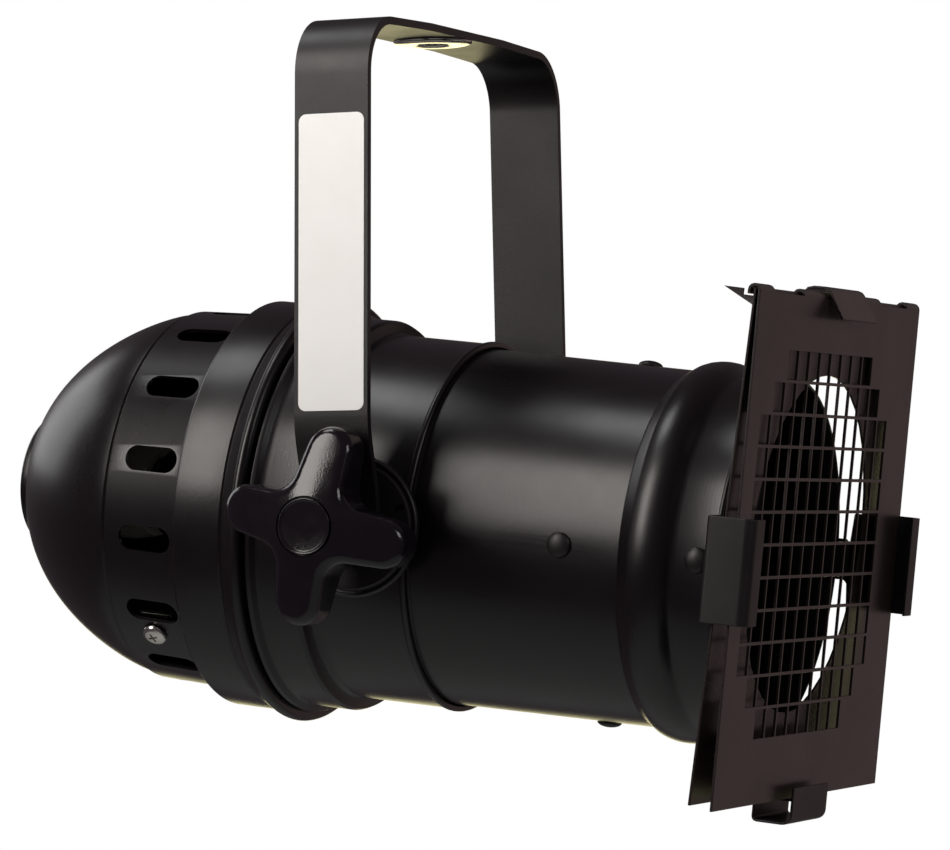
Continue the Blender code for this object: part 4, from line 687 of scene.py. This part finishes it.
def arc_of_vert(bm, start, centre, degrees, steps):
    # Sweeps a vertex round a centre and gives the last one.
    swept = bmesh.ops.spin(bm, geom=[start], axis=(0, 0, 1), cent=(*centre, 0), angle=math.radians(degrees),
                           steps=steps, use_merge=False)
    return [g for g in swept["geom_last"] if isinstance(g, bmesh.types.BMVert)][0]


def drawn_to(bm, vert, x, y):
    # Draws a straight edge from a vertex.
    drawn = bmesh.ops.extrude_vert_indiv(bm, verts=[vert])["verts"][0]
    drawn.co = (x, y, 0)
    return drawn


def knob_face(bm):
    # Outline of four tapered lobes with round tips, joined by hollows, as one face.
    tip = KNOB_R - KNOB_TIP_R
    hollow = KNOB_NECK + KNOB_HOLLOW_R
    lean, level = math.sin(math.radians(KNOB_TAPER)), math.cos(math.radians(KNOB_TAPER))
    for quarter in range(4):
        before = len(bm.verts)
        start = bm.verts.new((tip + KNOB_TIP_R * lean, -KNOB_TIP_R * level, 0))
        end = arc_of_vert(bm, start, (tip, 0), 180 - 2 * KNOB_TAPER, 32)
        side = drawn_to(bm, end, hollow - KNOB_HOLLOW_R * lean, hollow - KNOB_HOLLOW_R * level)
        end = arc_of_vert(bm, side, (hollow, hollow), 2 * KNOB_TAPER - 90, 14)
        drawn_to(bm, end, KNOB_TIP_R * level, tip + KNOB_TIP_R * lean)
        bm.verts.ensure_lookup_table()
        bmesh.ops.rotate(bm, verts=bm.verts[before:], cent=(0, 0, 0),
                         matrix=Matrix.Rotation(quarter * math.pi / 2, 3, "Z"))
    bmesh.ops.remove_doubles(bm, verts=bm.verts, dist=1e-5)
    return bmesh.ops.contextual_create(bm, geom=bm.edges[:])["faces"][0]


def step_in(bm, face, inset, rise):
    # Draws the face in by the inset and lifts it.
    bmesh.ops.inset_region(bm, faces=[face], thickness=inset, depth=0, use_even_offset=True,
                           use_boundary=True)
    bmesh.ops.translate(bm, verts=face.verts, vec=(0, 0, rise))


def lift(bm, face, rise):
    # Raises the face on a wall of its own and gives the new one.
    side = bmesh.ops.extrude_face_region(bm, geom=[face])
    new = [g for g in side["geom"] if isinstance(g, bmesh.types.BMFace)][0]
    bmesh.ops.translate(bm, verts=new.verts, vec=(0, 0, rise))
    if face.is_valid:
        bmesh.ops.delete(bm, geom=[face], context="FACES_ONLY")
    return new


def roll_over(bm, face, radius, degrees, steps=7):
    # Rounds the rim of a face, upwards for a positive radius.
    turn = math.radians(degrees) / steps
    for i in range(steps):
        inset = abs(radius) * (math.cos(turn * i) - math.cos(turn * (i + 1)))
        step_in(bm, face, inset, radius * (math.sin(turn * (i + 1)) - math.sin(turn * i)))


def towards_circle(bm, face, radius, height, share):
    # A ring part of the way from the outline to a circle.
    step_in(bm, face, 0.0001, 0)
    for v in face.verts:
        out = Vector((v.co.x, v.co.y, 0)).normalized() * radius
        v.co = v.co.lerp(Vector((out.x, out.y, height)), share)


def knob(side):
    # Moulded lobes with round shoulders and a shallow cone on top, a hub below, and a seat for the plug.
    # It is built with its axis along Z and then laid along Y.
    slope = (KNOB_CROWN - KNOB_HIGH) / (KNOB_R - KNOB_CAP_R)
    low = KNOB_LOW + KNOB_UNDER_R
    high = KNOB_HIGH - KNOB_SHOULDER
    bm = bmesh.new()
    top = knob_face(bm)
    bmesh.ops.translate(bm, verts=bm.verts, vec=(0, 0, low))
    bottom = top.copy()
    if top.normal.z < 0:
        top.normal_flip()
    if bottom.normal.z > 0:
        bottom.normal_flip()
    top = lift(bm, top, high - low)
    roll_over(bm, top, KNOB_SHOULDER, 90)
    for share in (0.3, 0.45, 1):
        towards_circle(bm, top, KNOB_CAP_R + 0.0009, KNOB_HIGH, share)
    for v in bm.verts:
        raised = slope * max(0, KNOB_R - math.hypot(v.co.x, v.co.y))
        v.co.z += raised * min(1, max(0, (v.co.z - low) / (high - low)))
    # A small lip round the plug, its ledge, and the pocket that the plug sits in.
    step_in(bm, top, 0.00025, -0.00055)
    step_in(bm, top, 0.00065 - FIT, 0)
    top = lift(bm, top, 0.0004 - KNOB_CAP_T)
    roll_over(bm, bottom, -KNOB_UNDER_R, 80)
    towards_circle(bm, bottom, KNOB_HUB_R + 0.0003, KNOB_LOW, 1)
    bottom = lift(bm, bottom, KNOB_FOOT - KNOB_LOW)
    for share in (0.5, 1):
        towards_circle(bm, bottom, INSERT_R + FIT, KNOB_FOOT, share)
    lift(bm, bottom, KNOB_BORE)
    bmesh.ops.recalc_face_normals(bm, faces=bm.faces)
    bm.transform(Matrix(((1, 0, 0, 0), (0, 0, 1, 0), (0, 1, 0, 0), (0, 0, 0, 1))))
    bmesh.ops.reverse_faces(bm, faces=bm.faces)
    turn = Matrix.Rotation(KNOB_TURN, 4, "Y")
    if side == "near":
        turn = Matrix.Rotation(math.pi, 4, "Z") @ turn
    piece("knob_" + side + "_moulding", bm, knob_plastic, "knob_" + side, HEAD @ turn,
          ("knob_" + side,), 50)


def knob_cap(side):
    # Plain press-in plug with a shallow ring, left bare.
    seat = KNOB_CROWN - KNOB_CAP_T + FIT
    face = seat + KNOB_CAP_T
    line = [(seat, 0), (seat, KNOB_CAP_R), (face, KNOB_CAP_R), (face, KNOB_CAP_R - 0.0006)]
    line += [(face - 0.0005, KNOB_CAP_R - 0.0013), (face - 0.0005, 0)]
    piece("knob_cap_" + side + "_moulding", spun(line, 0.0002, 96), knob_plastic, "knob_" + side,
          sided(side), ("knob_cap_" + side,))


# Yoke and its plate


def swept_leg(bm, start, sign):
    # From the middle of the crossbar over one bend and down to the rounded foot.
    def go(edges, y, z, narrow=1.0):
        made = bmesh.ops.extrude_edge_only(bm, edges=edges)["geom"]
        verts = [g for g in made if isinstance(g, bmesh.types.BMVert)]
        here = verts[0].co
        bmesh.ops.translate(bm, verts=verts, vec=(0, sign * y - here.y, z - here.z))
        for v in verts:
            v.co.x = math.copysign(BAR_WIDTH / 2 * narrow, v.co.x)
        return [g for g in made if isinstance(g, bmesh.types.BMEdge) and all(v in verts for v in g.verts)]
    edges = go([start], FLAT_HALF, 0)
    edges = go(edges, LEG_TOP_Y - BEND_R, LEG_TOP_Z + BEND_R)
    bend = bmesh.ops.spin(bm, geom=edges, axis=(1, 0, 0), cent=(0, sign * (LEG_TOP_Y - BEND_R), LEG_TOP_Z),
                          angle=-sign * math.pi / 2, steps=24, use_merge=False)
    edges = [g for g in bend["geom_last"] if isinstance(g, bmesh.types.BMEdge)]
    low = -PIVOT_DROP + JOGGLE_TOP
    edges = go(edges, LEG_TOP_Y + (LEG_TOP_Z - low) * math.tan(LEG_SPLAY), low)
    joggle = list(edges)
    edges = go(edges, LEG_FOOT_Y, -PIVOT_DROP + JOGGLE_END)
    joggle += edges
    edges = go(edges, LEG_FOOT_Y, -PIVOT_DROP)
    for degrees in range(6, 90, 6):
        angle = math.radians(degrees)
        edges = go(edges, LEG_FOOT_Y, -PIVOT_DROP - BAR_WIDTH / 2 * math.sin(angle), math.cos(angle))
    go(edges, LEG_FOOT_Y, -PIVOT_DROP - BAR_WIDTH / 2, 0.02)
    return joggle


def yoke():
    # The bar's outer face from foot to foot, thickened inwards, drilled, and its edges broken.
    bm = bmesh.new()
    ends = [bm.verts.new((x, 0, 0)) for x in (-BAR_WIDTH / 2, BAR_WIDTH / 2)]
    start = bm.edges.new(ends)
    joggles = swept_leg(bm, start, 1) + swept_leg(bm, start, -1)
    bmesh.ops.bevel(bm, geom=joggles, offset=0.0060, offset_type="OFFSET", segments=6, profile=0.5,
                    affect="EDGES", clamp_overlap=True, material=-1)
    bmesh.ops.recalc_face_normals(bm, faces=bm.faces)
    middle = min(bm.faces, key=lambda f: f.calc_center_median().length)
    if middle.normal.z < 0:
        bmesh.ops.reverse_faces(bm, faces=bm.faces)
    bar = loose_object("bar", bm)
    solid = bar.modifiers.new("sheet", "SOLIDIFY")
    solid.thickness = BAR_THICK
    solid.offset = -1
    solid.use_even_offset = True
    hang = pin(HANG_HOLE_R, -0.01, 0.01, 64)
    pivots = pin(BOLT_HOLE_R, -0.11, 0.11)
    pivots.transform(Matrix.Translation(PIVOT) @ Matrix.Rotation(math.pi / 2, 4, "X"))
    bm = break_edges(cut(with_modifiers(bar), [hang, pivots]), 0.0005, 55, 3)
    piece("yoke_bar", bm, flat_paint, "yoke", None, ("yoke",), flat=True)


def rating_plate():
    # The stuck-on plate on the near leg, bare of any print.
    bm = bmesh.new()
    corners = [(PLATE_REAR, PLATE_FOOT), (PLATE_FRONT, PLATE_FOOT)]
    corners += [(PLATE_FRONT, PLATE_TOP), (PLATE_REAR, PLATE_TOP)]
    verts = [bm.verts.new((x, -PLATE_GLUE, z)) for x, z in corners]
    bm.faces.new(verts)
    bmesh.ops.bevel(bm, geom=verts, offset=PLATE_CORNER_R, offset_type="OFFSET", segments=8, profile=0.5,
                    affect="VERTICES", clamp_overlap=True, material=-1)
    break_edges(thickened(bm, (0, -PLATE_T, 0)), 0.00006, 60, 2)
    place = Matrix.Translation((0, -LEG_TOP_Y, LEG_TOP_Z)) @ Matrix.Rotation(-LEG_SPLAY, 4, "X")
    piece("rating_plate", bm, film, "yoke", place, flat=True)


def hang_washer():
    # Bright washer under the hanging hole, its lower side swelled like a ring.
    swell = [math.radians(15 * i) for i in range(13)]
    line = [(-WASHER_TOP - 0.0001 - WASHER_BEND * math.sin(a), WASHER_BEND_R - WASHER_BEND_HALF * math.cos(a))
            for a in swell]
    bm = spun([(-WASHER_TOP, HANG_HOLE_R)] + line + [(-WASHER_TOP, WASHER_R)], 0, 120)
    piece("hang_washer_ring", bm, zinc, "yoke", Matrix.Rotation(-math.pi / 2, 4, "Y"),
          ("hang_washer",))


# Lamp


def lamp():
    # Reflector bowl on its base, and the lens that closes it.
    start = LAMP_BACK_X + FIT
    neck = start + LAMP_NECK
    outer = [(start, LAMP_BASE_R), (start + 0.004, LAMP_NECK_R - 0.003), (neck, LAMP_NECK_R)]
    for i in range(1, 29):
        share = i / 28
        outer.append((neck + (LAMP_EDGE_X - neck) * share,
                      LAMP_NECK_R + (LAMP_R - LAMP_NECK_R) * math.sqrt(share)))
    inner = [(x, r - LAMP_GLASS) for x, r in reversed(outer[2:])]
    bowl = [(start, 0)] + outer + inner + [(neck, 0)]
    piece("lamp_reflector", spun(bowl, 0.0004, 96), mirror, "head", BEAM, ("lamp_bowl",))
    edge = LAMP_EDGE_X + FIT
    crown = edge + LENS_T
    line = [(edge, 0), (edge, LAMP_R), (crown, LAMP_R - 0.001)]
    swell = ((0.0018, 0.88), (0.0030, 0.75), (0.0042, 0.56), (0.0050, 0.4), (0.0055, 0.2), (0.0056, 0))
    line += [(crown + rise, share * LAMP_R) for rise, share in swell]
    piece("lamp_front_lens", spun(line, 0.0006, 96), lens, "head", BEAM, ("lamp_lens",))


# Pieces that keep their solid and get a finish or broken edges


def sheet_pieces():
    # Clips, gel frame, latch and the small hardware: broken edges and a finish.
    for node in ("clip_near", "clip_far", "clip_bottom", "latch_bracket"):
        refined(node, flat_paint, "head", 0.00040)
    refined("frame_front_leaf", leaf_enamel_with_painted_reflection, "head", 0.00012)
    refined("frame_rear_leaf", leaf_enamel_with_painted_reflection, "rear_leaf", 0.0002)
    refined("latch", leaf_enamel_with_painted_reflection, "latch", 0.00025)
    for side in SIDES:
        refined("side_boss_" + side, flat_paint, "head", 0)
        refined("pivot_spacer_" + side, nylon, "head", 0.0003)
        refined("pivot_bolt_" + side, zinc, "head", 0)
        refined("pivot_washer_" + side, zinc, "yoke", 0.0002)
    refined("latch_pin", zinc, "latch", 0.0002)
    refined("lamp_holder", ceramic, "head", 0.0004)
    refined("gland_body", nylon, "head", 0.0003)


def remaining_nodes():
    # Every other solid shows as it is, with the finish of its slot.
    # The enamel slot's finish is black enamel with a brown base colour that is painted reflection of the warm
    # backdrop.
    finishes = {"black_powder_coat": flat_paint, "brown_black_enamel": leaf_enamel_with_painted_reflection,
                "black_knob_plastic": knob_plastic, "zinc_plated_steel": zinc, "brass": brass,
                "black_nylon": nylon, "white_ceramic": ceramic, "mirrored_glass": mirror, "clear_glass": lens}
    for node in nodes.values():
        for slot in node.material_slots:
            slot.material = finishes[slot.material.name.split(".")[0]]


# Studio and camera


def seen_as_backdrop(tree):
    # 1 for what the camera sees straight or through glass.
    rays = add(tree, "LightPath")
    return add(tree, "Math", {0: rays.outputs["Is Camera Ray"], 1: rays.outputs["Is Transmission Ray"]},
               operation="MAXIMUM").outputs[0]


def floor():
    # Pale paper. Its colour takes the lamps and the shadow, and fades to the white backdrop at its rim.
    bm = bmesh.new()
    bmesh.ops.create_circle(bm, cap_ends=True, segments=96, radius=FLOOR_R)
    bmesh.ops.translate(bm, verts=bm.verts, vec=(0, 0, FLOOR_Z))
    obj = loose_object("studio_floor", bm)
    material, tree, shader = new_material("pale_studio_paper")
    grain = add(tree, "TexNoise", {"Vector": as_placed(tree), "Scale": 3, "Detail": 3})
    shade = add(tree, "Mix", {"Factor": grain.outputs["Fac"], "A": linear("#f2f2f1"), "B": linear("#ececea")},
                data_type="RGBA")
    fill(shader, {"Base Color": shade.outputs["Result"], "Roughness": 0.9})
    away = add(tree, "VectorMath", {0: as_placed(tree)}, operation="LENGTH")
    rim = add(tree, "MapRange", {"Value": away.outputs["Value"], "From Min": 0.3 * FLOOR_R,
                                 "From Max": 0.9 * FLOOR_R, "To Min": 0.8, "To Max": 1})
    share = add(tree, "Math", {0: seen_as_backdrop(tree), 1: rim.outputs["Result"]}, operation="MULTIPLY")
    white = add(tree, "Emission", {"Color": linear("#ffffff"), "Strength": 1.0})
    mix = add(tree, "MixShader", {0: share.outputs[0], 1: shader.outputs[0], 2: white.outputs[0]})
    fill(tree.nodes["Material Output"], {"Surface": mix.outputs[0]})
    obj.data.materials.append(material)


def soft_light(name, toward, distance, width, height, power, colour="#ffffff"):
    # A softbox in a direction from the middle of the lamp, facing it. Power in watts.
    light = bpy.data.lights.new(name, "AREA")
    light.shape = "RECTANGLE"
    light.size = width
    light.size_y = height
    light.energy = power
    light.color = linear(colour)[:3]
    obj = bpy.data.objects.new(name, light)
    obj.location = LIT_MIDDLE + Vector(toward).normalized() * distance
    obj.rotation_euler = (LIT_MIDDLE - obj.location).to_track_quat("-Z", "Y").to_euler()
    bpy.context.collection.objects.link(obj)


def studio():
    # Camera and glass see a white backdrop. Gloss sees a dark room with two patches, so that
    # black paint stays black, and matt surfaces get an even, weak light from all round.
    world = bpy.data.worlds.new("studio")
    bpy.context.scene.world = world
    world.use_nodes = True
    tree = world.node_tree
    room = tree.nodes["Background"]
    fill(room, {"Color": linear("#ffffff"), "Strength": ROOM_LIGHT})
    white = add(tree, "Background", {"Color": linear("#ffffff"), "Strength": 1.0})
    around = add(tree, "TexCoord").outputs["Generated"]
    tint = ROOM_GLOSS
    for colour, direction, start, full in ROOM_PATCHES:
        toward = add(tree, "VectorMath", {0: around, 1: Vector(direction).normalized()},
                     operation="DOT_PRODUCT")
        patch = add(tree, "MapRange", {"Value": toward.outputs["Value"],
                                       "From Min": math.cos(math.radians(start)),
                                       "From Max": math.cos(math.radians(full))})
        tint = add(tree, "Mix", {"Factor": patch.outputs["Result"], "A": tint, "B": colour},
                   data_type="RGBA").outputs["Result"]
    gloss = add(tree, "Background", {"Color": tint, "Strength": 1.0})
    glossy = add(tree, "LightPath").outputs["Is Glossy Ray"]
    unseen = add(tree, "MixShader", {0: glossy, 1: room.outputs[0], 2: gloss.outputs[0]})
    mix = add(tree, "MixShader", {0: seen_as_backdrop(tree), 1: unseen.outputs[0], 2: white.outputs[0]})
    fill(tree.nodes["World Output"], {"Surface": mix.outputs[0]})
    soft_light("tall_key", (-0.42, -0.78, 0.46), 1.7, 0.56, 1.20, 15.5, "#fffaf4")
    soft_light("top", (-0.36, -0.12, 0.92), 1.6, 0.55, 0.5, 4)
    soft_light("left_wash", (-0.88, 0.22, 0.34), 1.6, 1.0, 0.8, 4.6)
    soft_light("front", (0.95, -0.35, 0.45), 1.8, 0.6, 0.6, 4)


def camera():
    # At the place and angle fitted to the photo.
    data = bpy.data.cameras.new("photo_camera")
    data.sensor_width = SENSOR_WIDTH
    data.lens = FOCAL_LENGTH / PHOTO_WIDTH * SENSOR_WIDTH
    data.clip_start = 0.1
    data.clip_end = 60
    obj = bpy.data.objects.new("photo_camera", data)
    bpy.context.collection.objects.link(obj)
    aim = Matrix.Rotation(CAMERA_PAN, 4, "Z") @ Matrix.Rotation(CAMERA_PITCH, 4, "X")
    aim = aim @ Matrix.Rotation(CAMERA_ROLL, 4, "Y") @ Matrix.Rotation(math.pi / 2, 4, "X")
    obj.matrix_world = Matrix.Translation(CAMERA_PLACE) @ aim
    bpy.context.scene.camera = obj


rear_cap()
body_shell()
front_tube()
rear_disc()
domed_rivets()
strap_screws()
for side in SIDES:
    side_disc(side)
    knob(side)
    knob_cap(side)
yoke()
rating_plate()
hang_washer()
lamp()
sheet_pieces()
remaining_nodes()
floor()
studio()
camera()
bpy.context.scene.view_settings.view_transform = "Standard"
